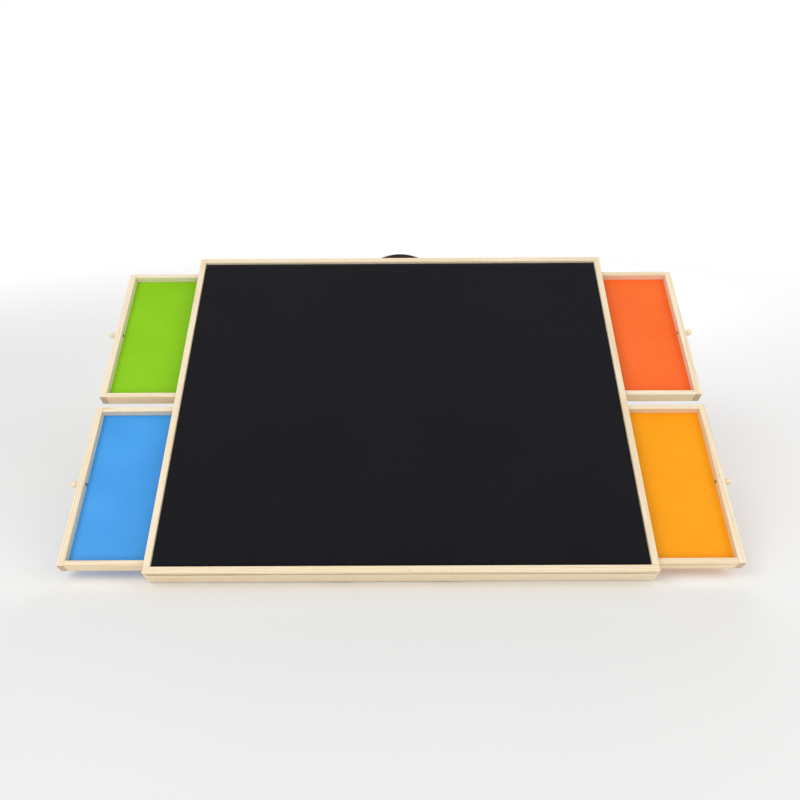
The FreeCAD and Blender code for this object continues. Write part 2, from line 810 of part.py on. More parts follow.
def make_stand():
    """Side rails with saw-tooth notches, two rungs, the back end rail and the mounting board."""
    half_height = size.stand_rail_height / 2
    inner_width = stand_inner * 2
    pin_radius = size.hinge_pin_diameter / 2
    for node, low_x in (("stand_rail_left", -stand_half), ("stand_rail_right", stand_inner)):
        rail = new_body(node, STAND)
        extent = (size.stand_rail_width, stand_length, size.stand_rail_height)
        box_in(rail, (low_x, 0, -half_height), extent)
        soften(rail, size.edge_round, lambda edge: edge.BoundBox.YMax > TOUCH)
        rod_in(rail, (low_x, 0, 0), ALONG_X, half_height, size.stand_rail_width)
        for wall, floor_length, ramp_length in notches():
            floor_end = wall - floor_length
            above = half_height + size.overrun
            slope_top = floor_end - ramp_length * above_share
            floor_line = [(floor_end, notch_floor_z), (wall, notch_floor_z)]
            opening = [(wall, above), (slope_top, above)]
            cut_profile(rail, floor_line + opening, stand_half * 2 + size.overrun)
        start = (low_x - size.overrun, 0, 0)
        rod_in(rail, start, ALONG_X, pin_radius, size.stand_rail_width + size.overrun * 2, cut=True)
    rung_height = size.stand_rail_height - size.rung_drop
    for node, middle in (
        ("rung_front", size.pivot_to_swivel - size.rung_offset),
        ("rung_rear", size.pivot_to_swivel + size.rung_offset),
    ):
        low = (-stand_inner, middle - size.rung_thickness / 2, -half_height)
        plank(node, STAND, low, (inner_width, size.rung_thickness, rung_height))
    end_low = (-stand_inner, stand_length - size.end_rail_thickness, -half_height)
    plank("end_rail", STAND, end_low, (inner_width, size.end_rail_thickness, size.stand_rail_height))
    board = new_body("mounting_board", STAND)
    board_start = size.pivot_to_swivel - size.rung_offset + size.rung_thickness / 2
    board_length = size.rung_offset * 2 - size.rung_thickness
    box_in(
        board,
        (-stand_inner, board_start, -half_height),
        (inner_width, board_length, size.mounting_board_thickness),
    )
    shank_end = stand_half + size.hinge_pin_grip
    head_radius = size.hinge_pin_head_diameter / 2
    head_height = size.hinge_pin_head_height
    pins = []
    for side, shank_x, head_x in (
        (-1, -shank_end, -stand_inner),
        (1, stand_inner, stand_inner - head_height),
    ):
        grip = shank_end - stand_inner
        shank = loose_rod(f"hinge_shank_{side + 1}", (shank_x, 0, 0), ALONG_X, pin_radius, grip)
        head = loose_rod(f"hinge_head_{side + 1}", (head_x, 0, 0), ALONG_X, head_radius, head_height)
        pins.append(joined(f"hinge_pin_{side + 1}", shank, head))
    group("hinge_pins", STAND, pins)


def make_turntable():
    """A hollow top disc on a ring of balls, over a base plate with a rubber pad."""
    disc_radius = size.disc_diameter / 2
    cavity_radius = disc_radius - size.disc_wall
    cavity_top = disc_top - size.disc_roof
    top = new_body("turntable_top", TURNTABLE)
    rod_in(top, (0, 0, size.disc_floor_gap), ALONG_Z, disc_radius, size.disc_thickness)
    soften(top, size.disc_round, lambda edge: edge.BoundBox.ZLength < TOUCH)
    cavity_start = (0, 0, size.disc_floor_gap - size.overrun)
    cavity_height = cavity_top - size.disc_floor_gap + size.overrun
    rod_in(top, cavity_start, ALONG_Z, cavity_radius, cavity_height, cut=True)
    plate_radius = cavity_radius - size.base_plate_clearance
    plate = new_body("base_plate", TURNTABLE)
    plate_top = size.base_pad_thickness + size.base_plate_thickness
    rod_in(plate, (0, 0, size.base_pad_thickness), ALONG_Z, plate_radius, size.base_plate_thickness)
    pad = new_body("base_pad", TURNTABLE)
    rod_in(pad, (0, 0, 0), ALONG_Z, plate_radius - size.base_pad_setback, size.base_pad_thickness)
    ball_level = (plate_top + cavity_top) / 2
    race_radius = size.race_diameter / 2
    groove_radius = size.ball_diameter / 2 + size.ball_clearance
    race_height = (cavity_top - plate_top) / 2 - size.race_split / 2
    for node, low_z in (("lower_race", plate_top), ("upper_race", ball_level + size.race_split / 2)):
        race = new_body(node, TURNTABLE)
        rod_in(race, (0, 0, low_z), ALONG_Z, race_radius + size.race_width / 2, race_height)
        bore_z = low_z - size.overrun
        bore_height = race_height + size.overrun * 2
        rod_in(race, (0, 0, bore_z), ALONG_Z, race_radius - size.race_width / 2, bore_height, cut=True)
        groove = race.newObject("PartDesign::SubtractiveTorus", f"{node}_groove")
        move_to(groove, (0, 0, ball_level))
        set_sizes(groove, Radius1=race_radius, Radius2=groove_radius)
    balls = []
    count = int(measure(size.ball_count))
    for index in range(count):
        ball = doc.addObject("Part::Sphere", f"ball_{index}")
        turn = Size(str(index)) * FULL_TURN / count
        move_to(ball, (race_radius * cosine(turn), race_radius * sine(turn), ball_level))
        set_sizes(ball, Radius=size.ball_diameter / 2)
        balls.append(ball)
    group("bearing_balls", TURNTABLE, balls)


make_lip()
make_top()
make_rails()
make_sheets()
make_guides()
make_pivot_blocks()
make_leg_bolts()
make_handle()
make_catch_plate()
near_bay, far_bay = drawer_starts()
make_drawer("blue", -1, near_bay)
make_drawer("green", -1, far_bay)
make_drawer("orange", 1, near_bay)
make_drawer("red", 1, far_bay)
make_prop()
make_stand()
make_turntable()
doc.recompute()

for thing in doc.Objects:
    if "Invalid" in thing.State or "Error" in thing.State:
        raise RuntimeError(f"{thing.Label}: {thing.State}")
for node in nodes:
    shape = node.Shape
    if shape.isNull() or not shape.isValid() or not shape.Solids:
        raise RuntimeError(f"{node.Label}: not a valid solid")

os.makedirs("parts", exist_ok=True)
for node in nodes:
    node.Shape.exportStep(f"parts/{node.Label}.step")
whole = Part.makeCompound([node.Shape for node in nodes]).BoundBox
print(len(nodes), "nodes,", sum(len(node.Shape.Solids) for node in nodes), "solids")
print("bounds", [round(value, 2) for value in (whole.XMin, whole.YMin, whole.ZMin)],
      [round(value, 2) for value in (whole.XMax, whole.YMax, whole.ZMax)])
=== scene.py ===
# %% [markdown]
# # Jigsaw puzzle table
#
# A felt-topped board with four coloured drawers leans on a notched pine stand with a turntable foot.
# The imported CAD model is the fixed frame: every length here is in metres, in that model's own frame,
# so a piece goes exactly where the model says. This file dresses that frame in wood, felt, paint,
# leather and metal.

# %% Load the frame
import json
import math
import random

import bmesh
import bpy
from mathutils import Euler, Matrix, Vector, noise

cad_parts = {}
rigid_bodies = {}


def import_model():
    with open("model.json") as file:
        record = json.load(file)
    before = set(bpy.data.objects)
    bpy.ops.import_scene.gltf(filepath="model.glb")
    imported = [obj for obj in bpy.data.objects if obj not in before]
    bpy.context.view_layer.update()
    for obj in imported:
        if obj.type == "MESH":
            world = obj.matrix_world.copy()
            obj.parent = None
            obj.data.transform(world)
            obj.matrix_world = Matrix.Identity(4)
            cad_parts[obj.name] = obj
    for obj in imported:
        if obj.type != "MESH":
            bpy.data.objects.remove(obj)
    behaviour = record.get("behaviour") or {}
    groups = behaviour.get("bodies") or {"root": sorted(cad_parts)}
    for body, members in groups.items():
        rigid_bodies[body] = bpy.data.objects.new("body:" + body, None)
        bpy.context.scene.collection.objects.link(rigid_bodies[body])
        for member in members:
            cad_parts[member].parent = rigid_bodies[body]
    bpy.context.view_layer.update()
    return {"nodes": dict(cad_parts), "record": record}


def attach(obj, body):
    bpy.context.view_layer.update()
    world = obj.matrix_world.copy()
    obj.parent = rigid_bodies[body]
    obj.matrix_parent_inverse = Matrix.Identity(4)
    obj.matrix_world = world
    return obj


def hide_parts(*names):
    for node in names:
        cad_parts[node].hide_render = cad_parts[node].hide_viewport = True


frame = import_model()

# %% [markdown]
# ## Frames of the sub-assemblies
#
# The board stands at 36 degrees, but it is easier to think of it lying flat. So each sub-assembly has a
# matrix of its own: shapes are drawn square to the wood, and the matrix stands them where the real ones
# are. In the board's frame x runs across the table, y up the slope from the pivot, and z out of the
# playing surface.

# %% Frames and levels
TILT = math.radians(36)  # the board, with the foot bar in its first notch
LEAN = math.radians(2.5)  # the prop's legs, away from upright
STAND_PIVOT = Vector((0, -0.321, 0.033))
PIVOT_TO_LEG = 0.437  # from the stand's pins up to the prop's bolts
board_frame = Matrix.Translation(STAND_PIVOT) @ Matrix.Rotation(TILT, 4, "X")
leg_pivot = board_frame @ Vector((0, PIVOT_TO_LEG, 0))
prop_frame = Matrix.Translation(leg_pivot) @ Matrix.Rotation(LEAN, 4, "X")
stand_frame = Matrix.Translation(STAND_PIVOT)
room_frame = Matrix.Identity(4)

BOARD_FRONT, BOARD_BACK = -0.036, 0.699  # along y
UNDERSIDE, TABLE_TOP = -0.012, 0.032  # along z
DRAWER_MIDDLES = {"near": 0.148125, "far": 0.501875}
DRAWERS = {"blue": (-1, "near"), "green": (-1, "far"), "orange": (1, "near"), "red": (1, "far")}

# %% [markdown]
# ## Camera
#
# The camera stands where the photograph of the open table was taken from: in front of the player's
# edge and above it. Its place, direction and lens were worked out from the straight edges of the board
# and the drawers, whose real sizes are known. The lens is given by its focal length on a sensor that
# is 36 mm wide.

# %% Camera
def in_scene(name, data):
    """A new object of the scene, from its mesh, lamp or camera data."""
    thing = bpy.data.objects.new(name, data)
    bpy.context.scene.collection.objects.link(thing)
    return thing


PIXELS = 800
SENSOR_MM = 36
FOCAL_PIXELS = 766
camera_data = bpy.data.cameras.new("camera")
camera_data.sensor_width = SENSOR_MM
camera_data.lens = FOCAL_PIXELS / PIXELS * SENSOR_MM
camera = in_scene("camera", camera_data)
bpy.context.scene.camera = camera
CAMERA_PLACE = Vector((0.0044, -1.4933, 0.7747))
PITCH, YAW, ROLL = (math.radians(angle) for angle in (20.57, -0.2, -0.35))
view = Euler((math.radians(90) - PITCH, 0, -YAW)).to_matrix().to_4x4()
camera.matrix_world = Matrix.Translation(CAMERA_PLACE) @ view @ Matrix.Rotation(ROLL, 4, "Z")
bpy.context.scene.view_settings.view_transform = "Standard"
print("lens", round(camera_data.lens, 1), "mm")

# %% [markdown]
# ## A short hand for nodes
#
# Materials and Geometry Nodes are both trees of nodes. One small class writes them down in the order in
# which they are thought of: `put` adds a node, feeds its inputs with numbers or with the outputs of
# earlier nodes, and returns its own output.

# %% Node writer
class NodeWork:
    """A node tree under construction."""

    def __init__(self, tree, prefix):
        self.tree = tree
        self.prefix = prefix

    def put(self, kind, inputs=None, output=0, prefix=None, **settings):
        node = self.tree.nodes.new((prefix or self.prefix) + kind)
        for name, value in settings.items():
            setattr(node, name, value)
        for name, value in (inputs or {}).items():
            self.feed(node.inputs[name], value)
        return node.outputs[output] if node.outputs else node

    def feed(self, socket, value):
        for one in value if isinstance(value, list) else [value]:
            if isinstance(one, bpy.types.NodeSocket):
                self.tree.links.new(one, socket)
            else:
                socket.default_value = one

    def math(self, operation, *values, kind="Math", output=0):
        inputs = dict(enumerate(values))
        return self.put(kind, inputs, output, prefix="ShaderNode", operation=operation)

    def vector_math(self, operation, *vectors):
        output = 1 if operation == "LENGTH" else 0
        return self.math(operation, *vectors, kind="VectorMath", output=output)

    def combine(self, x, y, z):
        return self.put("CombineXYZ", {"X": x, "Y": y, "Z": z}, prefix="ShaderNode")

    def split(self, vector):
        return self.put("SeparateXYZ", {0: vector}, prefix="ShaderNode").node.outputs

    def looked_at(self):
        """1 for what the camera sees, also in a reflection or through glass, 0 for light on things."""
        seen = self.put("LightPath").node.outputs
        reflected = self.math("MAXIMUM", seen["Is Camera Ray"], seen["Is Glossy Ray"])
        return self.math("MAXIMUM", reflected, seen["Is Transmission Ray"])


# %% Colours and finishes
def linear(share):
    """The sRGB curve, from a share of the screen's brightness to a share of light."""
    return share / 12.92 if share <= 0.04045 else ((share + 0.055) / 1.055) ** 2.4


def paint(*levels):
    """A linear colour from red, green and blue of 0 to 255, as a paint chart gives them."""
    return (*(linear(level / 255) for level in levels), 1)


class Finish(NodeWork):
    """A material of nodes for colour, roughness and bump. Fixed numbers go on the shader itself.

    Its patterns lie in Object coordinates turned square to a sub-assembly, or in a stored place.
    """

    def __init__(self, name, lies_in=board_frame, **fixed):
        self.material = bpy.data.materials.new(name)
        self.material.use_nodes = True
        super().__init__(self.material.node_tree, "ShaderNode")
        self.shader = self.tree.nodes["Principled BSDF"]
        for key, value in fixed.items():
            label = key.replace("_", " ").title().replace("Ior", "IOR")
            self.shader.inputs[label].default_value = value
        if isinstance(lies_in, str):
            self.point = self.stored(lies_in, output=1)
        else:
            turn = tuple(lies_in.inverted().to_euler())
            spot = self.put("TexCoord", output=3)
            self.point = self.put("Mapping", {"Vector": spot, "Rotation": turn})

    def surface(self, color, roughness, height=None, relief=0.0, strength=1.0):
        self.feed(self.shader.inputs["Base Color"], color)
        self.feed(self.shader.inputs["Roughness"], roughness)
        if height is not None:
            inputs = {"Strength": strength, "Distance": relief, "Height": height}
            self.feed(self.shader.inputs["Normal"], self.put("Bump", inputs))
        return self.material

    def stored(self, name, output=2):
        return self.put("Attribute", output=output, attribute_name=name)

    def stretched(self, point, x, y, z):
        return self.vector_math("MULTIPLY", point, (x, y, z))

    def noise(self, scale, detail=2.0, roughness=0.5, output=0):
        """Soft noise. Three scales stretch it, as a grain is drawn out along its board."""
        point = self.point
        if isinstance(scale, tuple):
            point, scale = self.stretched(point, *scale), 1.0
        inputs = {"Vector": point, "Scale": scale, "Detail": detail, "Roughness": roughness}
        return self.put("TexNoise", inputs, output)

    def between(self, share, first, second, blend="MIX"):
        """A colour between two others, by a share from 0 to 1."""
        inputs = {0: share, 6: first, 7: second}
        return self.put("Mix", inputs, 2, data_type="RGBA", blend_type=blend)

    def marked(self, color, pattern, low, high, most, tone):
        """A colour multiplied by a tone where a pattern rises from low to high, there by `most` of it."""
        return self.between(self.span(pattern, low, high, 0.0, most), color, tone, "MULTIPLY")

    def span(self, value, low, high, to_low=0.0, to_high=1.0, **settings):
        """A value's range from low to high, laid over another range."""
        inputs = {0: value, 1: low, 2: high, 3: to_low, 4: to_high}
        return self.put("MapRange", inputs, **settings)


# %% [markdown]
# ## Pine
#
# Real pine is a stack of growth rings cut through by a saw. So the finish is a solid texture: every
# plank stores, for each of its points, where that point lies in the log, along the grain and across it.
# The distance from the log's core gives the rings, pale in spring and darker late in summer, with a
# sudden step back to pale. Long thin noise adds the fibres. Sides and ends then agree by themselves,
# as they do on a real board, and no two planks are alike because each comes from its own log.

# %% Pine finish
RING_WIDTH = 0.0042
RING_SWAY = 0.014  # how far the rings wander along the log
RING_UNREST = 2.4  # how many rings their spacing wanders by
finish = Finish("pine_finish", "log_point", specular_ior_level=0.35)
across = finish.stretched(finish.point, 0, 1, 1)
sway = finish.noise((2.2, 9, 9), output=1)
sway = finish.vector_math("SUBTRACT", sway, (0.5, 0.5, 0.5))
across = finish.vector_math("ADD", across, finish.stretched(sway, 0, RING_SWAY, RING_SWAY))
ring_count = finish.math("DIVIDE", finish.vector_math("LENGTH", across), RING_WIDTH)
uneven = finish.noise((0.6, 26, 26), detail=1)
ring_count = finish.math("ADD", ring_count, finish.math("MULTIPLY", uneven, RING_UNREST))
phase = finish.math("FRACT", ring_count)
season = finish.put("ValToRGB", {0: phase})
stops = season.node.color_ramp.elements
stops[0].position, stops[0].color = 0.0, (0.10, 0.10, 0.10, 1)
stops[1].position, stops[1].color = 1.0, (0.16, 0.16, 0.16, 1)
for position, level in ((0.08, 0.0), (0.5, 0.16), (0.8, 0.72), (0.9, 1.0), (0.95, 0.55)):
    stops.new(position).color = (level, level, level, 1)
year = finish.noise((1.1, 30, 30), detail=1)
late_wood = finish.math("MULTIPLY", season, finish.span(year, 0.3, 0.7, 0.25, 1.0))
fibre = finish.noise((22, 1100, 1100), detail=3, roughness=0.6)
fleck = finish.noise((90, 800, 800), detail=1)
tone = finish.noise((0.45, 3, 3), detail=1)
color = finish.between(late_wood, paint(245, 234, 209), paint(226, 198, 156))
color = finish.marked(color, tone, 0.35, 0.65, 0.55, paint(250, 238, 222))
color = finish.marked(color, fibre, 0.4, 0.7, 0.45, paint(232, 218, 196))
color = finish.marked(color, fleck, 0.68, 0.76, 0.45, paint(182, 146, 106))
vessel = finish.noise((60, 1500, 1500))
end_tone = finish.between(finish.span(vessel, 0.42, 0.6), paint(218, 206, 192), paint(176, 160, 144))
color = finish.marked(color, finish.stored("end_face"), 0.0, 1.0, 0.8, end_tone)
rough = finish.span(late_wood, 0.0, 1.0, 0.58, 0.46)
relief = finish.math("ADD", finish.math("MULTIPLY", late_wood, 0.6), fibre)
pine = finish.surface(color, rough, relief, relief=0.00009, strength=0.5)
print("pine rings are", RING_WIDTH * 1000, "mm wide")

# %% [markdown]
# ## Planks
#
# The CAD pieces already have the right shape, but they come as loose triangles without any grain. Each
# solid of a wooden node is joined from its triangles, and its sharp edges are eased as sandpaper does.
# Then it gets its place in a log of its own, with the grain along its longest side, so that two planks
# that meet at a corner show it.

# %% Cutting planks from logs
wood_seed = random.Random(35)
FROM_CORE = (0.03, 0.085)  # a plank is cut this far from the log's core
LOG_LENGTH = 9  # and starts anywhere along it
GRAIN_SLOPE = 0.022  # its grain may run out of it by this much
END_FACING = 0.7  # a face that looks this much along the grain is an end


def lie_of(points, grain=None):
    """A plank's middle and its directions: the grain's first, its longest side's if none is named."""
    low = Vector(min(p[k] for p in points) for k in range(3))
    high = Vector(max(p[k] for p in points) for k in range(3))
    order = sorted(range(3), key=lambda k: low[k] - high[k])
    if grain is not None:
        order = [grain] + [k for k in order if k != grain]
    return (low + high) / 2, order


def store(mesh, name, values, kind="FLOAT", domain="POINT"):
    """A number or direction for each point or face, for a finish or a recipe to read."""
    key = "vector" if kind == "FLOAT_VECTOR" else "value"
    mesh.attributes.new(name, kind, domain).data.foreach_set(key, values)


class Joinery:
    """Planks on their way to one mesh. Each keeps the place that it had in a log of its own."""

    def __init__(self, assembly):
        self.to_wood = assembly.inverted()
        self.points, self.faces, self.log_points, self.ends = [], [], [], []
        self.planks = 0

    def add(self, bm, grain=None):
        bm.verts.index_update()
        bm.normal_update()
        places = [self.to_wood @ v.co for v in bm.verts]
        middle, order = lie_of(places, grain)
        turn = wood_seed.uniform(0, math.tau)
        far = wood_seed.uniform(*FROM_CORE)
        start = wood_seed.uniform(0, LOG_LENGTH)
        slope = wood_seed.uniform(-GRAIN_SLOPE, GRAIN_SLOPE)
        for place in places:
            run, wide, thin = ((place - middle)[k] for k in order)
            self.log_points += [start + run, far * math.cos(turn) + wide + slope * run,
                                far * math.sin(turn) + thin]
        turned = self.to_wood.to_3x3()
        first = len(self.points)
        self.points += [v.co.copy() for v in bm.verts]
        for face in bm.faces:
            self.faces.append([first + v.index for v in face.verts])
            self.ends.append(float(abs((turned @ face.normal)[order[0]]) > END_FACING))
        self.planks += 1
        bm.free()

    def mesh(self, name):
        mesh = bpy.data.meshes.new(name)
        mesh.from_pydata(self.points, [], self.faces)
        store(mesh, "log_point", self.log_points, "FLOAT_VECTOR")
        store(mesh, "end_face", self.ends, domain="FACE")
        return shaded(mesh)


# %% Plain meshes and shading
SMOOTH = math.radians(32)  # a steeper crease is shaded as an edge
SHARP = math.radians(50)  # a steeper edge is eased
FLAT = math.radians(0.3)  # a flatter one is no edge, only two triangles that meet
SAME_SPOT = 1e-6


def taken_plain(carrier):
    """The plain mesh that an object's modifiers make. The object itself goes."""
    bpy.context.view_layer.update()
    shown = carrier.evaluated_get(bpy.context.evaluated_depsgraph_get())
    made = bpy.data.meshes.new_from_object(shown)
    carrier.modifiers.clear()
    bpy.data.objects.remove(carrier)
    return made


def worked(mesh, kind, **settings):
    """The plain mesh that comes out of one modifier."""
    carrier = in_scene("carrier", mesh)
    modifier = carrier.modifiers.new(kind, kind)
    for key, value in settings.items():
        setattr(modifier, key, value)
    return taken_plain(carrier)


def shaded(mesh, smooth=SMOOTH):
    """Smooth but for the real edges, with the large flat faces kept flat to the eye."""
    mesh.shade_smooth()
    mesh.set_sharp_from_angle(angle=smooth)
    return worked(mesh, "WEIGHTED_NORMAL", mode="FACE_AREA", keep_sharp=True)


# %% Solids out of a CAD mesh
def skins(mesh):
    """The faces of each solid in a CAD mesh: a solid is complete when its skin has closed."""
    bm = bmesh.new()
    bm.from_mesh(mesh)
    doubles = bmesh.ops.find_doubles(bm, verts=bm.verts, dist=SAME_SPOT)["targetmap"]
    spots = [doubles.get(v, v).co.to_tuple() for v in bm.verts]
    open_edges, faces = set(), []
    for face in mesh.polygons:
        corners = list(dict.fromkeys(spots[i] for i in face.vertices))
        if len(corners) < 3:
            continue
        faces.append(corners)
        for a, b in zip(corners, corners[1:] + corners[:1]):
            open_edges ^= {frozenset((a, b))}
        if not open_edges:
            yield faces
            faces = []
    bm.free()
    if faces:
        raise ValueError(f"{mesh.name} has an open skin")


def eased(faces, ease):
    """A solid joined from its loose faces, its sharp edges eased and collapsed faces taken out."""
    bm = bmesh.new()
    spots = {spot: bm.verts.new(spot) for spot in dict.fromkeys(c for corners in faces for c in corners)}
    for corners in faces:
        bm.faces.new([spots[c] for c in corners])
    bm.normal_update()
    bmesh.ops.dissolve_limit(bm, angle_limit=FLAT, verts=bm.verts, edges=bm.edges)
    sharp = [e for e in bm.edges if len(e.link_faces) == 2 and e.calc_face_angle(0) > SHARP]
    bmesh.ops.bevel(bm, geom=sharp, offset=ease, segments=3, profile=0.5, affect="EDGES",
                    clamp_overlap=True)
    bmesh.ops.dissolve_degenerate(bm, dist=SAME_SPOT, edges=bm.edges)
    return bm


# %% Meshes and pieces
def filled(name, bm):
    mesh = bpy.data.meshes.new(name)
    bm.to_mesh(mesh)
    bm.free()
    return mesh


def plain_mesh(name, bm, smooth=SMOOTH):
    return shaded(filled(name, bm), smooth)


def as_piece(name, mesh, body, slot, material, *replaced):
    """Put a finished mesh in the scene, on its body, in place of the nodes that it stands for."""
    piece = in_scene(name, mesh)
    piece.data.materials.clear()
    piece.data.materials.append(material)
    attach(piece, body)
    if replaced:
        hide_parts(*replaced)
    return piece


def coat(material, *nodes):
    """Give a finish to CAD pieces that keep their shape."""
    for node in nodes:
        frame["nodes"][node].active_material = material


# %% Make the planks
body_of_node = {n: b for b, nodes in frame["record"]["behaviour"]["bodies"].items() for n in nodes}
EASE = 0.0005  # as sandpaper leaves an edge
WOODWORK = [
    (board_frame, ["lip_front", "lip_back", "lip_left", "lip_right", "front_rail", "back_rail",
                   "centre_rail_left", "centre_rail_right", "cross_piece", "pivot_blocks",
                   "drawer_guides_left", "drawer_guides_right"]),
    (board_frame, [f"{colour}_drawer_{part}" for colour in DRAWERS for part in ("front", "walls")]),
    (prop_frame, ["leg_left", "leg_right", "foot_bar"]),
    (stand_frame, ["stand_rail_left", "stand_rail_right", "rung_front", "rung_rear", "end_rail",
                   "mounting_board"]),
]
plank_count = 0
for assembly, names in WOODWORK:
    for node in names:
        joinery = Joinery(assembly)
        for faces in skins(frame["nodes"][node].data):
            joinery.add(eased(faces, EASE))
        as_piece(f"{node}_wood", joinery.mesh(node), body_of_node[node], "pine", pine, node)
        plank_count += joinery.planks
print("planks cut from logs:", plank_count)

# %% [markdown]
# ## Painted and brown boards
#
# The drawer floors are thin boards with a roller-painted face: a very fine stipple, slightly uneven
# colour and a satin shine. The underside and the ceiling of the recess are brown hardboard, a pressed
# sheet of wood fibres with cloudy tone and faint lines. These nodes keep their CAD shape and only get
# their finish. Their texture is turned with the board, so that the faint lines run across the table.

# %% Painted boards
def painted_board(name, color, shade):
    finish = Finish(name, specular_ior_level=0.14)
    cloud = finish.noise(9, detail=3)
    stipple = finish.noise(1500)
    scuff = finish.noise((40, 420, 420))
    body = finish.between(finish.span(cloud, 0.3, 0.7), color, shade)
    body = finish.marked(body, scuff, 0.62, 0.8, 0.35, paint(225, 225, 225))
    rough = finish.span(finish.noise(30, detail=3), 0.3, 0.7, 0.36, 0.5)
    return finish.surface(body, rough, stipple, relief=0.00005, strength=0.35)


PAINTS = {"green": ((141, 203, 26), (133, 196, 20)), "blue": ((72, 160, 234), (64, 152, 226)),
          "orange": ((250, 164, 18), (247, 157, 12)), "red": ((250, 112, 47), (246, 105, 40))}
for colour, (face, shade) in PAINTS.items():
    coat(painted_board(f"{colour}_paint", paint(*face), paint(*shade)), f"{colour}_drawer_floor")
print("painted boards:", len(PAINTS))

# %% Hardboard and edge finishes
finish = Finish("hardboard_finish", specular_ior_level=0.45)
cloud = finish.noise((10, 26, 26), detail=4, roughness=0.6)
line = finish.noise((14, 620, 620), detail=3)
speck = finish.noise(900)
color = finish.between(finish.span(cloud, 0.2, 0.8), paint(142, 117, 82), paint(130, 105, 71))
color = finish.marked(color, line, 0.45, 0.75, 0.45, paint(205, 190, 168))
color = finish.marked(color, speck, 0.62, 0.75, 0.4, paint(150, 130, 108))
rough = finish.span(cloud, 0.3, 0.7, 0.38, 0.5)
hardboard = finish.surface(color, rough, speck, relief=0.00006, strength=0.3)
coat(hardboard, "underside_sheet_left", "underside_sheet_right", "recess_sheet")

finish = Finish("dark_edge_finish", specular_ior_level=0.3)
layer = finish.noise((30, 30, 1900))
chip = finish.noise(700, detail=3)
color = finish.between(finish.span(layer, 0.35, 0.65), paint(74, 56, 42), paint(46, 35, 27))
color = finish.marked(color, chip, 0.5, 0.7, 0.5, paint(140, 120, 100))
dark_edge = finish.surface(color, 0.75, chip, relief=0.0001, strength=0.5)
coat(dark_edge, "top_panel")
print("finishes so far:", len(bpy.data.materials))

# %% [markdown]
# ## Felt
#
# The playing surface is a sheet of dense black felt, glued down inside the lip. Felt is never perfectly
# flat: it lies in very low swells and its cut edge turns down. So it is a real sheet, two skins joined
# at the rim, with a tenth of a millimetre of swell. Sheen gives the soft glow of fibres that stand up.
# Noise at several scales gives the matted clumps, the single hairs, the brushed nap and a little lint.

# %% Felt finish
finish = Finish("felt_finish", specular_ior_level=0.12, sheen_weight=0.14,
                sheen_roughness=0.55, sheen_tint=paint(150, 150, 160))
clump = finish.noise(260, detail=4, roughness=0.65)
hair = finish.noise((1500, 2300, 1500), detail=3, roughness=0.7)
nap = finish.noise(5.5, detail=3)
lint = finish.noise(430, detail=1)
color = finish.between(finish.span(clump, 0.3, 0.7), paint(21, 20, 24), paint(29, 28, 33))
color = finish.marked(color, hair, 0.35, 0.65, 0.8, paint(175, 175, 180))
color = finish.marked(color, nap, 0.35, 0.7, 0.4, paint(205, 205, 208))
color = finish.between(finish.span(lint, 0.79, 0.84, 0.0, 0.35), color, paint(96, 95, 100))
height = finish.math("ADD", hair, finish.math("MULTIPLY", clump, 1.6))
felt_finish = finish.surface(color, 0.96, height, relief=0.0005, strength=0.65)
print("nodes in the felt finish:", len(finish.tree.nodes))

# %% Felt sheet
FELT_SIZE = (0.8654, 0.7104)
FELT_LOW, FELT_TOP = 0.025, 0.027
FELT_MIDDLE = (BOARD_FRONT + BOARD_BACK) / 2
ROWS = (112, 92)  # squares of its grid, across the table and up the slope
EDGE_TURN, EDGE_DROP = 0.004, 0.0008  # the rim turns down over this width, by this much
SWELL, SWELLS_PER_METRE = 0.00011, 14
SWELL_FADE = 0.01  # it dies out over this width before the rim
SWELL_PATTERN = 2.0  # any number here gives swells of its own


def felt_skin(level, swell):
    """One face of the felt: a grid whose outermost millimetres turn down."""
    points = []
    for j in range(ROWS[1] + 1):
        for i in range(ROWS[0] + 1):
            x = (i / ROWS[0] - 0.5) * FELT_SIZE[0]
            y = (j / ROWS[1] - 0.5) * FELT_SIZE[1]
            rim = min(FELT_SIZE[0] / 2 - abs(x), FELT_SIZE[1] / 2 - abs(y))
            turn_down = EDGE_DROP * max(0.0, 1 - rim / EDGE_TURN) ** 2
            wave = noise.noise(Vector((x * SWELLS_PER_METRE, y * SWELLS_PER_METRE, SWELL_PATTERN)))
            height = SWELL * wave * min(1.0, rim / SWELL_FADE)
            points.append(Vector((x, FELT_MIDDLE + y, level + swell * (height - turn_down))))
    return points


def felt_mesh():
    """The upper skin, the flat lower skin, and the rim between them."""
    across, deep = ROWS[0] + 1, ROWS[1] + 1
    points = felt_skin(FELT_TOP, 1) + felt_skin(FELT_LOW, 0)
    lower = across * deep
    faces = []
    for j in range(ROWS[1]):
        for i in range(ROWS[0]):
            a = j * across + i
            quad = (a, a + 1, a + across + 1, a + across)
            faces += [quad, tuple(lower + k for k in reversed(quad))]
    rim = list(range(across)) + [j * across + across - 1 for j in range(1, deep)]
    rim += [lower - 2 - i for i in range(across - 1)] + [j * across for j in range(deep - 2, 0, -1)]
    for a, b in zip(rim, rim[1:] + rim[:1]):
        faces.append((b, a, lower + a, lower + b))
    mesh = bpy.data.meshes.new("felt")
    mesh.from_pydata([board_frame @ p for p in points], [], faces)
    mesh.shade_smooth()
    return mesh


felt = as_piece("felt_sheet", felt_mesh(), "board", "black_felt", felt_finish, "play_felt")
print("felt", FELT_SIZE, "faces", len(felt.data.polygons))

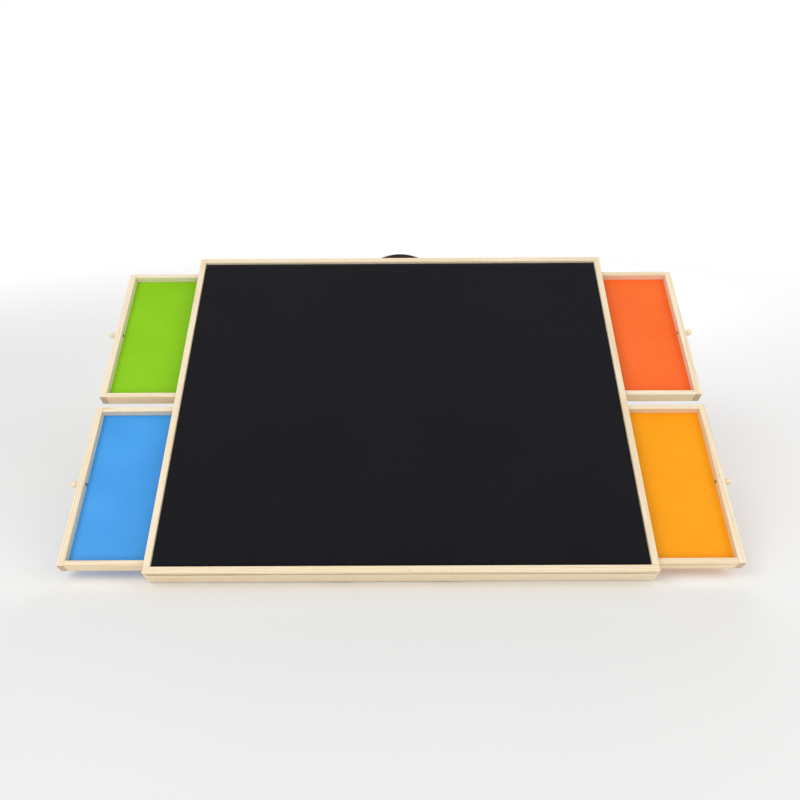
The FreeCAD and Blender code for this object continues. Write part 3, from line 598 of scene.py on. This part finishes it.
# %% [markdown]
# ## Metals, plastic, rubber and leather
#
# Plated metal is a mirror with flaws: a little noise in its roughness, finely drawn lines on the caps,
# and a painted highlight: paler colour on the rims, where a stored number marks the round that hands
# have polished. The foot is moulded plastic with a fine spark texture. Leather is a skin of small
# rounded cells with creases between them, the creases darkened as painted shade, and its cut edges are
# painted darker. Another stored number says how near the edge a point is.

# %% Metal finishes
# how far the rims' colour is painted towards a pale highlight
RIM_HIGHLIGHT = 0.85


def plated(name, color, worn, low, high, lines=(300, 300, 300), metal=1.0):
    """Plated metal in two tones. Its roughness goes from low to high across its drawn lines."""
    finish = Finish(name, metallic=metal)
    drawn = finish.noise(lines, detail=3)
    stain = finish.noise(70, detail=3)
    body = finish.between(finish.span(stain, 0.35, 0.7), color, worn)
    # a painted highlight: the colour turns pale on the rims that a stored number marks
    polish = finish.math("MULTIPLY", finish.stored("polish"), RIM_HIGHLIGHT)
    body = finish.between(polish, body, paint(226, 226, 218))
    rough = finish.span(drawn, 0.3, 0.7, low, high)
    return finish.surface(body, rough, drawn, relief=0.00003, strength=0.3)


nickel = plated("nickel_finish", paint(146, 146, 134), paint(126, 127, 114), low=0.30, high=0.44,
                lines=(60, 2600, 2600))
steel = plated("steel_finish", paint(196, 196, 198), paint(170, 169, 168), low=0.24, high=0.42)
dark_steel = plated("dark_steel_finish", paint(140, 126, 116), paint(112, 98, 88), low=0.34, high=0.5)
plate_finish = plated("plate_finish", paint(232, 218, 204), paint(220, 206, 192), low=0.42, high=0.54,
                      lines=(40, 1800, 1800), metal=0.35)
print("finishes so far:", len(bpy.data.materials))

# %% Plastic, rubber and leather finishes
def dull_black(name, color, dusty, rough, grain, relief):
    """Moulded black with a fine spark texture, paler and duller where dust has settled."""
    finish = Finish(name, room_frame, specular_ior_level=0.3)
    spark = finish.noise(grain)
    dust = finish.noise(24, detail=4)
    body = finish.between(finish.span(dust, 0.4, 0.75), color, dusty)
    dullness = finish.span(dust, 0.3, 0.7, rough, rough + 0.12)
    return finish.surface(body, dullness, spark, relief=relief, strength=0.5)


black_plastic = dull_black("plastic_finish", paint(16, 14, 14), paint(24, 21, 21),
                           rough=0.34, grain=1600, relief=0.0001)
rubber = dull_black("rubber_finish", paint(26, 26, 26), paint(38, 37, 36),
                    rough=0.72, grain=700, relief=0.0002)

WARP = 0.0016  # the leather's cells are pushed about by this much
finish = Finish("leather_finish", specular_ior_level=0.36)
warp = finish.noise(190, output=1)
warped = finish.vector_math("ADD", finish.stretched(finish.point, 1, 1.25, 1.25),
                            finish.stretched(warp, WARP, WARP, WARP))
cell = finish.put("TexVoronoi", {"Vector": warped, "Scale": 620.0}, feature="SMOOTH_F1")
pore = finish.noise(2400)
hide = finish.noise(42, detail=4)
edge = finish.stored("strap_edge")
color = finish.between(finish.span(hide, 0.3, 0.7), paint(84, 44, 38), paint(62, 32, 28))
# a painted shade: the creases between the cells, which the bump also sinks, are darkened
color = finish.marked(color, cell, 0.35, 0.8, 0.6, paint(168, 150, 146))
color = finish.marked(color, edge, 0.86, 0.98, 1.0, paint(128, 112, 108))
height = finish.math("SUBTRACT", finish.math("MULTIPLY", pore, 0.25), cell)
rough = finish.span(hide, 0.3, 0.7, 0.34, 0.46)
leather = finish.surface(color, rough, height, relief=0.00028, strength=0.6)

finish = Finish("thread_finish", sheen_weight=0.2, specular_ior_level=0.3)
ply = finish.put("TexWave", {"Vector": finish.point, "Scale": 900.0, "Distortion": 1.5}, output=1)
color = finish.between(ply, paint(92, 58, 50), paint(64, 38, 34))
thread = finish.surface(color, 0.7, ply, relief=0.0001, strength=0.5)

coat(black_plastic, "base_plate")
coat(rubber, "base_pad")
coat(steel, "upper_race", "lower_race", "bearing_balls")
print("finishes in all:", len(bpy.data.materials))

# %% [markdown]
# ## Growing pieces with Geometry Nodes
#
# A tree of Geometry Nodes is a recipe with named sizes. `Recipe` opens one with its inputs, and `grow`
# runs it on a small guide mesh and takes the plain mesh that comes out, so nothing live is left behind.

# %% Recipe and grow
class Recipe(NodeWork):
    """A Geometry Nodes tree with named inputs. It ends in Realize Instances and Set Material."""

    SOCKETS = {float: "NodeSocketFloat", int: "NodeSocketInt", type(None): "NodeSocketMaterial"}

    def __init__(self, name, **sizes):
        group = bpy.data.node_groups.new(name, "GeometryNodeTree")
        super().__init__(group, "GeometryNode")
        new_socket = group.interface.new_socket
        new_socket("Geometry", in_out="INPUT", socket_type="NodeSocketGeometry")
        self.ids = {}
        for label, default in {**sizes, "finish": None}.items():
            socket = new_socket(label, in_out="INPUT", socket_type=self.SOCKETS[type(default)])
            if default is not None:
                socket.default_value = default
            self.ids[label] = socket.identifier
        new_socket("Geometry", in_out="OUTPUT", socket_type="NodeSocketGeometry")
        self.given = group.nodes.new("NodeGroupInput").outputs
        self.end = group.nodes.new("NodeGroupOutput").inputs[0]

    def lifted(self, geometry, height):
        shift = self.combine(0.0, 0.0, height)
        return self.put("Transform", {"Geometry": geometry, "Translation": shift})

    def close(self, geometry):
        solid = self.put("RealizeInstances", {"Geometry": geometry})
        solid = self.put("SetMaterial", {"Geometry": solid, "Material": self.given["finish"]})
        self.feed(self.end, solid)

    def grow(self, guide, **values):
        """Run the recipe on a guide mesh and return the plain mesh that it makes."""
        carrier = in_scene("guide", guide)
        modifier = carrier.modifiers.new("recipe", "NODES")
        modifier.node_group = self.tree
        for label, value in values.items():
            modifier[self.ids[label]] = value
        return taken_plain(carrier)


def guide_line(points):
    """A guide mesh: the points in a row, joined by edges."""
    mesh = bpy.data.meshes.new("guide_line")
    mesh.from_pydata(points, [(i, i + 1) for i in range(len(points) - 1)], [])
    return mesh


SEAM = 1e-7  # two rims this near each other are one seam


def closed_shell(mesh):
    """A grown shell with its seams joined and all its faces looking outwards."""
    bm = bmesh.new()
    bm.from_mesh(mesh)
    bmesh.ops.remove_doubles(bm, verts=bm.verts, dist=SEAM)
    bmesh.ops.recalc_face_normals(bm, faces=bm.faces)
    return bm


# %% [markdown]
# ## Turned pieces
#
# A lathe makes a round piece from half an outline. The recipe does the same: it lays out a grid, one row
# for each point of the outline and one column for each step round, and sends every grid point to its
# radius and height. The four wooden knobs and the black disc of the turntable come from this one recipe.

# %% Lathe recipe
lathe = Recipe("lathe", steps_round=64)
corners = lathe.put("AttributeDomainSize", {"Geometry": lathe.given["Geometry"]}, component="MESH")
grid = lathe.put("MeshGrid", {"Size X": 1.0, "Size Y": 1.0, "Vertices Y": corners,
                              "Vertices X": lathe.math("ADD", lathe.given["steps_round"], 1)})
position = lathe.put("InputPosition")
across, along, _ = lathe.split(position)
last_row = lathe.math("SUBTRACT", corners, 1)
row = lathe.math("ROUND", lathe.math("MULTIPLY", lathe.math("ADD", along, 0.5), last_row))
inputs = {"Geometry": lathe.given["Geometry"], "Value": position, "Index": row}
radius, _, height = lathe.split(lathe.put("SampleIndex", inputs, data_type="FLOAT_VECTOR"))
angle = lathe.math("MULTIPLY", across, math.tau)
turned = lathe.combine(lathe.math("MULTIPLY", radius, lathe.math("COSINE", angle)),
                       lathe.math("MULTIPLY", radius, lathe.math("SINE", angle)), height)
shell = lathe.put("SetPosition", {"Geometry": grid, "Position": turned})
lathe.close(lathe.put("MergeByDistance", {"Geometry": shell, "Distance": SAME_SPOT}))
print("nodes in the lathe recipe:", len(lathe.tree.nodes))


def turned_piece(outline, **values):
    """A round mesh from half its outline: radii and heights in millimetres."""
    return lathe.grow(guide_line([(r / 1000, 0, h / 1000) for r, h in outline]), **values)


# %% Wooden knobs
KNOB_OUTLINE = [(0, 0), (4.5, 0), (4.5, 0.5), (4.1, 1.4), (3.9, 2.7), (3.95, 4.0), (4.4, 5.1),
                (5.3, 6.5), (6.0, 8.0), (6.25, 9.7), (6.2, 11.4), (5.8, 13.0), (4.9, 14.4),
                (3.5, 15.4), (1.8, 15.9), (0, 16)]
DRAWER_FACE = 0.602  # where an open drawer's front ends, across the table
KNOB_LEVEL = 0.0065
for colour, (side, row_name) in DRAWERS.items():
    mesh = turned_piece(KNOB_OUTLINE, steps_round=40, finish=pine)
    facing = Matrix.Rotation(side * math.radians(90), 4, "Y")
    seat = Vector((side * DRAWER_FACE, DRAWER_MIDDLES[row_name], KNOB_LEVEL))
    mesh.transform(board_frame @ Matrix.Translation(seat) @ facing)
    joinery = Joinery(board_frame)
    joinery.add(closed_shell(mesh), grain=0)
    as_piece(f"{colour}_turned_knob", joinery.mesh("knob"), f"{colour}_drawer", "pine", pine,
             f"{colour}_drawer_knob")
print("knobs turned:", len(DRAWERS))

# %% Turntable disc
DISC_OUTLINE = [(0, 15), (120, 15), (120, 3.5), (121, 3.5), (132.6, 3.5), (133.6, 3.9), (134, 4.8),
                (134, 10), (134, 18.4), (133.6, 20), (132.6, 20.7), (131.2, 21), (128, 21),
                (127.4, 20.7), (126.8, 20.7), (126.2, 21), (60, 21), (0, 21)]
mesh = turned_piece(DISC_OUTLINE, steps_round=144, finish=black_plastic)
mesh = plain_mesh("disc", closed_shell(mesh))
as_piece("turntable_disc", mesh, "stand", "black_plastic", black_plastic, "turntable_top")
print("disc faces:", len(mesh.polygons))

# %% [markdown]
# ## Screws and pins
#
# Every screw is the same idea: a domed head with a cross cut into it, and a plain shank behind. The
# recipe makes one from its sizes, then puts a copy on every point of the guide mesh, aimed the way that
# the point's stored direction says and turned by a seeded random angle, because nobody lines up screws.

# %% Screw recipe
screw = Recipe("cross_head_screw", head_radius=0.004, dome=0.0012, cross=0.0009, depth=0.0009,
               shank_radius=0.002, shank_length=0.01, seed=3)
given = screw.given
ball = screw.put("MeshUVSphere", {"Segments": 28, "Rings": 14, "Radius": 1.0})
flattened = screw.combine(given["head_radius"], given["head_radius"], given["dome"])
ball = screw.put("Transform", {"Geometry": ball, "Scale": flattened})
wide = screw.math("MULTIPLY", given["head_radius"], 3)
block = screw.put("MeshCube", {"Size": screw.combine(wide, wide, wide)})
block = screw.lifted(block, screw.math("MULTIPLY", wide, 0.5))
dome = screw.put("MeshBoolean", {"Mesh 2": [ball, block]}, operation="INTERSECT", solver="EXACT")
long_slot = screw.math("MULTIPLY", given["head_radius"], 1.1)
deep = screw.math("MULTIPLY", given["depth"], 2)
bars = [screw.lifted(screw.put("MeshCube", {"Size": screw.combine(*sizes)}), given["dome"])
        for sizes in ((long_slot, given["cross"], deep), (given["cross"], long_slot, deep))]
head = screw.put("MeshBoolean", {"Mesh 1": dome, "Mesh 2": bars}, operation="DIFFERENCE", solver="EXACT")
shank = screw.put("MeshCylinder", {"Vertices": 20, "Radius": given["shank_radius"],
                                   "Depth": given["shank_length"]})
shank = screw.lifted(shank, screw.math("MULTIPLY", given["shank_length"], -0.5))
whole = screw.put("JoinGeometry", {"Geometry": [shank, head]})
facing = screw.put("InputNamedAttribute", {"Name": "facing"}, data_type="FLOAT_VECTOR")
aim = screw.put("AlignRotationToVector", {"Vector": facing}, prefix="FunctionNode", axis="Z")
chance = screw.put("RandomValue", {"Min": 0.0, "Max": math.tau, "Seed": given["seed"]}, 1,
                   prefix="FunctionNode", data_type="FLOAT")
spin = screw.put("AxisAngleToRotation", {"Axis": (0, 0, 1), "Angle": chance}, prefix="FunctionNode")
aim = screw.put("RotateRotation", {"Rotation": aim, "Rotate By": spin}, prefix="FunctionNode",
                rotation_space="LOCAL")
inputs = {"Points": given["Geometry"], "Instance": whole, "Rotation": aim}
screw.close(screw.put("InstanceOnPoints", inputs))
print("nodes in the screw recipe:", len(screw.tree.nodes))


def drive_screws(name, node, seats, facings, material, slot="steel", body="board",
                 assembly=board_frame, **sizes):
    """Screws of one size, each on its seat and facing its own way."""
    guide = bpy.data.meshes.new(name)
    guide.from_pydata(seats, [], [])
    store(guide, "facing", [n for facing in facings for n in facing], "FLOAT_VECTOR")
    mesh = plain_mesh(name, closed_shell(screw.grow(guide, finish=material, **sizes)))
    mesh.transform(assembly)
    as_piece(name, mesh, body, slot, material, node)
    print(name, len(seats))


# %% Screws in the caps and the plate
SIDES = (-1, 1)
CAP_DEPTH, CAP_SCREW_X = 0.0061, 0.083
CAP_FACE = BOARD_BACK + CAP_DEPTH
STRAP_LEVEL = 0.0035
cap_seats = [(side * CAP_SCREW_X, CAP_FACE, STRAP_LEVEL) for side in SIDES]
drive_screws("cap_screws", "handle_screws", cap_seats, [(0, 1, 0)] * 2, nickel, slot="nickel",
             head_radius=0.0045, dome=0.0015, cross=0.0010, depth=0.0009, shank_radius=0.002,
             shank_length=0.0131, seed=4)
PLATE_THICKNESS, PLATE_MIDDLE, PLATE_SCREW_STEP = 0.0015, 0.685, 0.022
plate_seats = [(step * PLATE_SCREW_STEP, PLATE_MIDDLE, UNDERSIDE - PLATE_THICKNESS)
               for step in (-1, 0, 1)]
drive_screws("plate_screws", "catch_screws", plate_seats, [(0, 0, -1)] * 3, dark_steel,
             head_radius=0.003, dome=0.001, cross=0.0007, depth=0.0007, shank_radius=0.0015,
             shank_length=0.0115, seed=7)

# %% Bolts and pins
BOLT_SEAT_X, PIN_SEAT_X = 0.1345, 0.082
bolt_seats = [(side * BOLT_SEAT_X, PIVOT_TO_LEG, 0) for side in SIDES]
drive_screws("leg_bolt_heads", "leg_bolts", bolt_seats, [(-1, 0, 0), (1, 0, 0)], steel,
             head_radius=0.0065, dome=0.0035, cross=0.0013, depth=0.0018, shank_radius=0.003,
             shank_length=0.0265, seed=9)
pin_seats = [(side * PIN_SEAT_X, 0, 0) for side in SIDES]
drive_screws("pivot_pin_heads", "hinge_pins", pin_seats, [(1, 0, 0), (-1, 0, 0)], steel,
             body="stand", assembly=stand_frame, head_radius=0.007, dome=0.003, cross=0.0014,
             depth=0.0016, shank_radius=0.004, shank_length=0.038, seed=2)

# %% Knob screws
SCREW_SEAT = 0.0125  # from a front's outer face, in to where the screw's head sits
for number, (colour, (side, row_name)) in enumerate(DRAWERS.items()):
    seat = (side * (DRAWER_FACE - SCREW_SEAT), DRAWER_MIDDLES[row_name], KNOB_LEVEL)
    drive_screws(f"{colour}_knob_screw_head", f"{colour}_knob_screw", [seat], [(-side, 0, 0)],
                 dark_steel, body=f"{colour}_drawer", head_radius=0.0035, dome=0.0011, cross=0.0008,
                 depth=0.0008, shank_radius=0.00175, shank_length=0.0195, seed=20 + number)

# %% [markdown]
# ## Strap handle
#
# The handle is a leather strap that bows away from the back edge, its ends flat under two metal caps.
# A strap is one outline swept along one curve, so the recipe takes the curve as its guide, gives it a
# rounded and slightly crowned section, and closes the ends. The stitches follow the same curve: short
# grains of thread at an even pitch, one row along each edge.

# %% Strap curve
STRAP_WIDTH, STRAP_THICKNESS = 0.024, 0.0043
TAB_INNER, TAB_OUTER = 0.071, 0.1010  # the flat ends, from the handle's centre
HANDLE_RISE = 0.029
BOW_SHAPE = 1.44  # 1 is a parabola, and more draws its feet out flatter
STRAP_STEPS = 96


def strap_middle(x):
    """Height of the strap's middle line above the back face, at x from the handle's centre."""
    share = min(1.0, abs(x) / TAB_INNER)
    return STRAP_THICKNESS / 2 + (HANDLE_RISE - STRAP_THICKNESS) * (1 - share * share) ** BOW_SHAPE


strap_line = [Vector((x, strap_middle(x), 0)) for x in
              (TAB_OUTER * (2 * i / STRAP_STEPS - 1) for i in range(STRAP_STEPS + 1))]
strap_length = sum((b - a).length for a, b in zip(strap_line, strap_line[1:]))
strap_place = board_frame @ Matrix.Translation(Vector((0, BOARD_BACK, STRAP_LEVEL)))
print("strap length", round(strap_length, 4))

# %% Sweep the strap
sweep = Recipe("swept_strap", width=STRAP_WIDTH, thickness=STRAP_THICKNESS, rounding=0.0013)
curve = sweep.put("MeshToCurve", {"Mesh": sweep.given["Geometry"]})
curve = sweep.put("SetCurveNormal", {"Curve": curve}, mode="Z_UP")
section = sweep.put("CurvePrimitiveQuadrilateral", {"Width": sweep.given["thickness"],
                                                    "Height": sweep.given["width"]})
section = sweep.put("FilletCurve", {"Curve": section, "Radius": sweep.given["rounding"], "Count": 5},
                    mode="POLY")
section = sweep.put("ResampleCurve", {"Curve": section, "Count": 72})
sweep.close(sweep.put("CurveToMesh", {"Curve": curve, "Profile Curve": section, "Fill Caps": True}))
mesh = sweep.grow(guide_line(strap_line), finish=leather)
CROWN = 0.0007  # both faces fall away by this much at the strap's edges
STRAP_SMOOTH = math.radians(50)
edge_share = []
for vertex in mesh.vertices:
    share = min(1.0, abs(vertex.co.z) / (STRAP_WIDTH / 2))
    edge_share.append(share)
    above = vertex.co.y > strap_middle(vertex.co.x)
    vertex.co.y += CROWN * share ** 2 * (-1 if above else 1)
store(mesh, "strap_edge", edge_share)
mesh.transform(strap_place)
mesh = plain_mesh("strap", closed_shell(mesh), STRAP_SMOOTH)
as_piece("leather_strap", mesh, "board", "leather", leather, "handle_strap")
print("faces on the strap:", len(mesh.polygons))

# %% Stitch the strap
stitches = Recipe("stitches", pitch=0.0042, stitch_length=0.0029, thread_radius=0.00038)
given = stitches.given
curve = stitches.put("MeshToCurve", {"Mesh": given["Geometry"]})
spots = stitches.put("CurveToPoints", {"Curve": curve, "Length": given["pitch"]}, mode="LENGTH")
grain = stitches.put("MeshUVSphere", {"Segments": 8, "Rings": 6, "Radius": 1.0})
grain_size = stitches.combine(given["thread_radius"], given["thread_radius"],
                              stitches.math("MULTIPLY", given["stitch_length"], 0.5))
grain = stitches.put("Transform", {"Geometry": grain, "Scale": grain_size})
stitches.close(stitches.put("InstanceOnPoints", {"Points": spots, "Instance": grain,
                                                 "Rotation": spots.node.outputs["Rotation"]}))
STITCH_INSET = 0.0026  # from the strap's edge
THREAD_LIFT = 0.0001  # the thread's middle, above the leather
UNSTITCHED = 10  # steps of the strap's line, under each cap
bm = bmesh.new()
for side in SIDES:
    level = side * (STRAP_WIDTH / 2 - STITCH_INSET)
    share = abs(level) / (STRAP_WIDTH / 2)
    lift = STRAP_THICKNESS / 2 - CROWN * share ** 2 + THREAD_LIFT
    line = []
    for i in range(UNSTITCHED + 1, STRAP_STEPS - UNSTITCHED):
        along = (strap_line[i + 1] - strap_line[i - 1]).normalized()
        line.append(strap_line[i] + Vector((-along.y, along.x, 0)) * lift + Vector((0, 0, level)))
    bm.from_mesh(stitches.grow(guide_line(line), finish=thread))
mesh = plain_mesh("stitches", bm)
mesh.transform(strap_place)
as_piece("strap_stitches", mesh, "board", "leather", thread)
print("faces on the stitches:", len(mesh.polygons))

# %% [markdown]
# ## Handle caps and catch plate
#
# Each cap is a pressed metal cover: a dull flat face, a round rim that hands have polished and that
# carries a painted highlight, and a slot where the strap comes out. It starts as a block, its corners and
# rim are rounded, and the strap's slot is cut from below with a boolean. The catch plate is the CAD plate
# with its edges eased.

# %% Blocks and cuts
def block_mesh(low, high):
    """A plain block between two corners."""
    bm = bmesh.new()
    bmesh.ops.create_cube(bm, size=1)
    low, high = Vector(low), Vector(high)
    for vertex in bm.verts:
        vertex.co = Vector(low[k] + (vertex.co[k] + 0.5) * (high[k] - low[k]) for k in range(3))
    return filled("block", bm)


def carved(mesh, tool_mesh):
    """A mesh less a tool, by an exact boolean that is applied at once."""
    tool = in_scene("tool", tool_mesh)
    result = worked(mesh, "BOOLEAN", object=tool, solver="EXACT", operation="DIFFERENCE")
    bpy.data.objects.remove(tool)
    return result


# %% Caps
CAP_SIZE = Vector((0.032, CAP_DEPTH, 0.030))
CAP_X = 0.087
CORNER_ROUND, RIM_ROUND = 0.0022, 0.0017
SLOT_X = (0.0700, 0.1014)  # a slot's inner and outer end
SLOT_HALF, SLOT_DEPTH = 0.0123, 0.0046
SLOT_FOOT = -0.001  # the cutting block starts below the cap
HIGHLIGHT_BAND = (0.02, 0.8)  # the band of the rim's round that gets the painted highlight, from the face down


def cap_block(side):
    """The outside of a cap in the board's frame: a block with round corners and a round rim."""
    low = Vector((side * CAP_X - CAP_SIZE.x / 2, BOARD_BACK, STRAP_LEVEL - CAP_SIZE.z / 2))
    bm = bmesh.new()
    bm.from_mesh(block_mesh(low, low + CAP_SIZE))

    def standing(edge):
        return abs(edge.verts[0].co.y - edge.verts[1].co.y) > CAP_SIZE.y / 2

    def on_the_face(edge):
        return all(v.co.y > low.y + CAP_SIZE.y - SAME_SPOT for v in edge.verts)

    for wanted, radius in ((standing, CORNER_ROUND), (on_the_face, RIM_ROUND)):
        bmesh.ops.bevel(bm, geom=[e for e in bm.edges if wanted(e)], offset=radius, segments=5,
                        profile=0.5, affect="EDGES")
    return bm


bm = bmesh.new()
for side in SIDES:
    outside = plain_mesh("cap", cap_block(side))
    left, right = sorted(side * x for x in SLOT_X)
    low = (left, BOARD_BACK + SLOT_FOOT, STRAP_LEVEL - SLOT_HALF)
    high = (right, BOARD_BACK + SLOT_DEPTH, STRAP_LEVEL + SLOT_HALF)
    bm.from_mesh(carved(outside, block_mesh(low, high)))
mesh = plain_mesh("caps", bm)
rim_top, rim_foot = (CAP_FACE - RIM_ROUND * share for share in HIGHLIGHT_BAND)
# the points on this band of each rim get the painted highlight
polish = [float(rim_foot < v.co.y < rim_top) for v in mesh.vertices]
store(mesh, "polish", polish)
mesh.transform(board_frame)
as_piece("strap_caps", mesh, "board", "nickel", nickel, "handle_caps")
print("polished points on the rims:", int(sum(polish)))

# %% Catch plate
PLATE_EASE = 0.0003
faces = next(skins(frame["nodes"]["catch_plate"].data))
mesh = plain_mesh("catch_plate", eased(faces, PLATE_EASE))
as_piece("catch_plate_eased", mesh, "board", "plate", plate_finish, "catch_plate")
print("faces on the plate:", len(mesh.polygons))

# %% [markdown]
# ## Floor and light
#
# The table stands on a wide pale floor that turns to white in the distance, so that no horizon shows
# and its own shadow stays. Big soft lamps stand round it as in a product studio: one main lamp from the
# upper left, a weaker one from the right, a low wide one in front, and one behind for the back view.
# Their strengths are set so that a colour renders about as it is written. The white beyond the floor
# is only for what the camera sees, also in reflections, and adds no light.

# %% Floor
FLOOR_REACH = 14.0
FADE_START, FADE_END = 1.3, 3.2  # the floor turns to white between these distances
bm = bmesh.new()
bmesh.ops.create_circle(bm, cap_ends=True, segments=96, radius=FLOOR_REACH)
mesh = filled("floor", bm)
floor = in_scene("floor", mesh)
finish = Finish("floor_finish", room_frame, specular_ior_level=0.2)
cloud = finish.noise(3)
finish.surface(finish.between(cloud, paint(238, 238, 238), paint(240, 240, 239)), 0.8)
distance = finish.vector_math("LENGTH", finish.stretched(finish.point, 1, 1, 0))
fade = finish.span(distance, FADE_START, FADE_END, interpolation_type="SMOOTHSTEP")
fade = finish.math("MULTIPLY", fade, finish.looked_at())
glow = finish.put("Emission", {"Color": (1, 1, 1, 1), "Strength": 1.0})
mixed = finish.put("MixShader", {0: fade, 1: finish.shader.outputs[0], 2: glow})
finish.feed(finish.tree.nodes["Material Output"].inputs["Surface"], mixed)
mesh.materials.append(finish.material)
print("the floor is white from", FADE_END, "m on")

# %% World and lamps
world = bpy.data.worlds.new("studio")
bpy.context.scene.world = world
world.use_nodes = True
sky = NodeWork(world.node_tree, "ShaderNode")
world.node_tree.nodes.clear()
ROOM_LIGHT = 0.63
room = sky.put("Background", {"Color": (1, 1, 1, 1), "Strength": ROOM_LIGHT})
white = sky.put("Background", {"Color": (1, 1, 1, 1), "Strength": 1.0})
mixed = sky.put("MixShader", {0: sky.looked_at(), 1: room, 2: white})
sky.put("OutputWorld", {"Surface": mixed})


def lamp(name, place, aim_level, size, watts):
    """An oblong soft lamp that looks at the middle of the table, at a level above the floor."""
    data = bpy.data.lights.new(name, "AREA")
    data.shape = "RECTANGLE"
    data.size, data.size_y, data.energy = size[0], size[1], watts
    place = Vector(place)
    aim = (Vector((0, 0, aim_level)) - place).to_track_quat("-Z", "Y")
    in_scene(name, data).matrix_world = Matrix.Translation(place) @ aim.to_matrix().to_4x4()


lamp("main_lamp", (-1.7, -1.6, 2.6), aim_level=0.15, size=(1.8, 1.4), watts=28)
lamp("side_lamp", (2.2, -1.0, 1.9), aim_level=0.15, size=(1.6, 1.6), watts=13)
lamp("front_lamp", (0.3, -3.4, 0.7), aim_level=0.15, size=(2.6, 1.0), watts=22)
lamp("back_lamp", (0.6, 2.6, 1.3), aim_level=0.2, size=(2.0, 1.4), watts=26)
print("lamps:", len(bpy.data.lights))
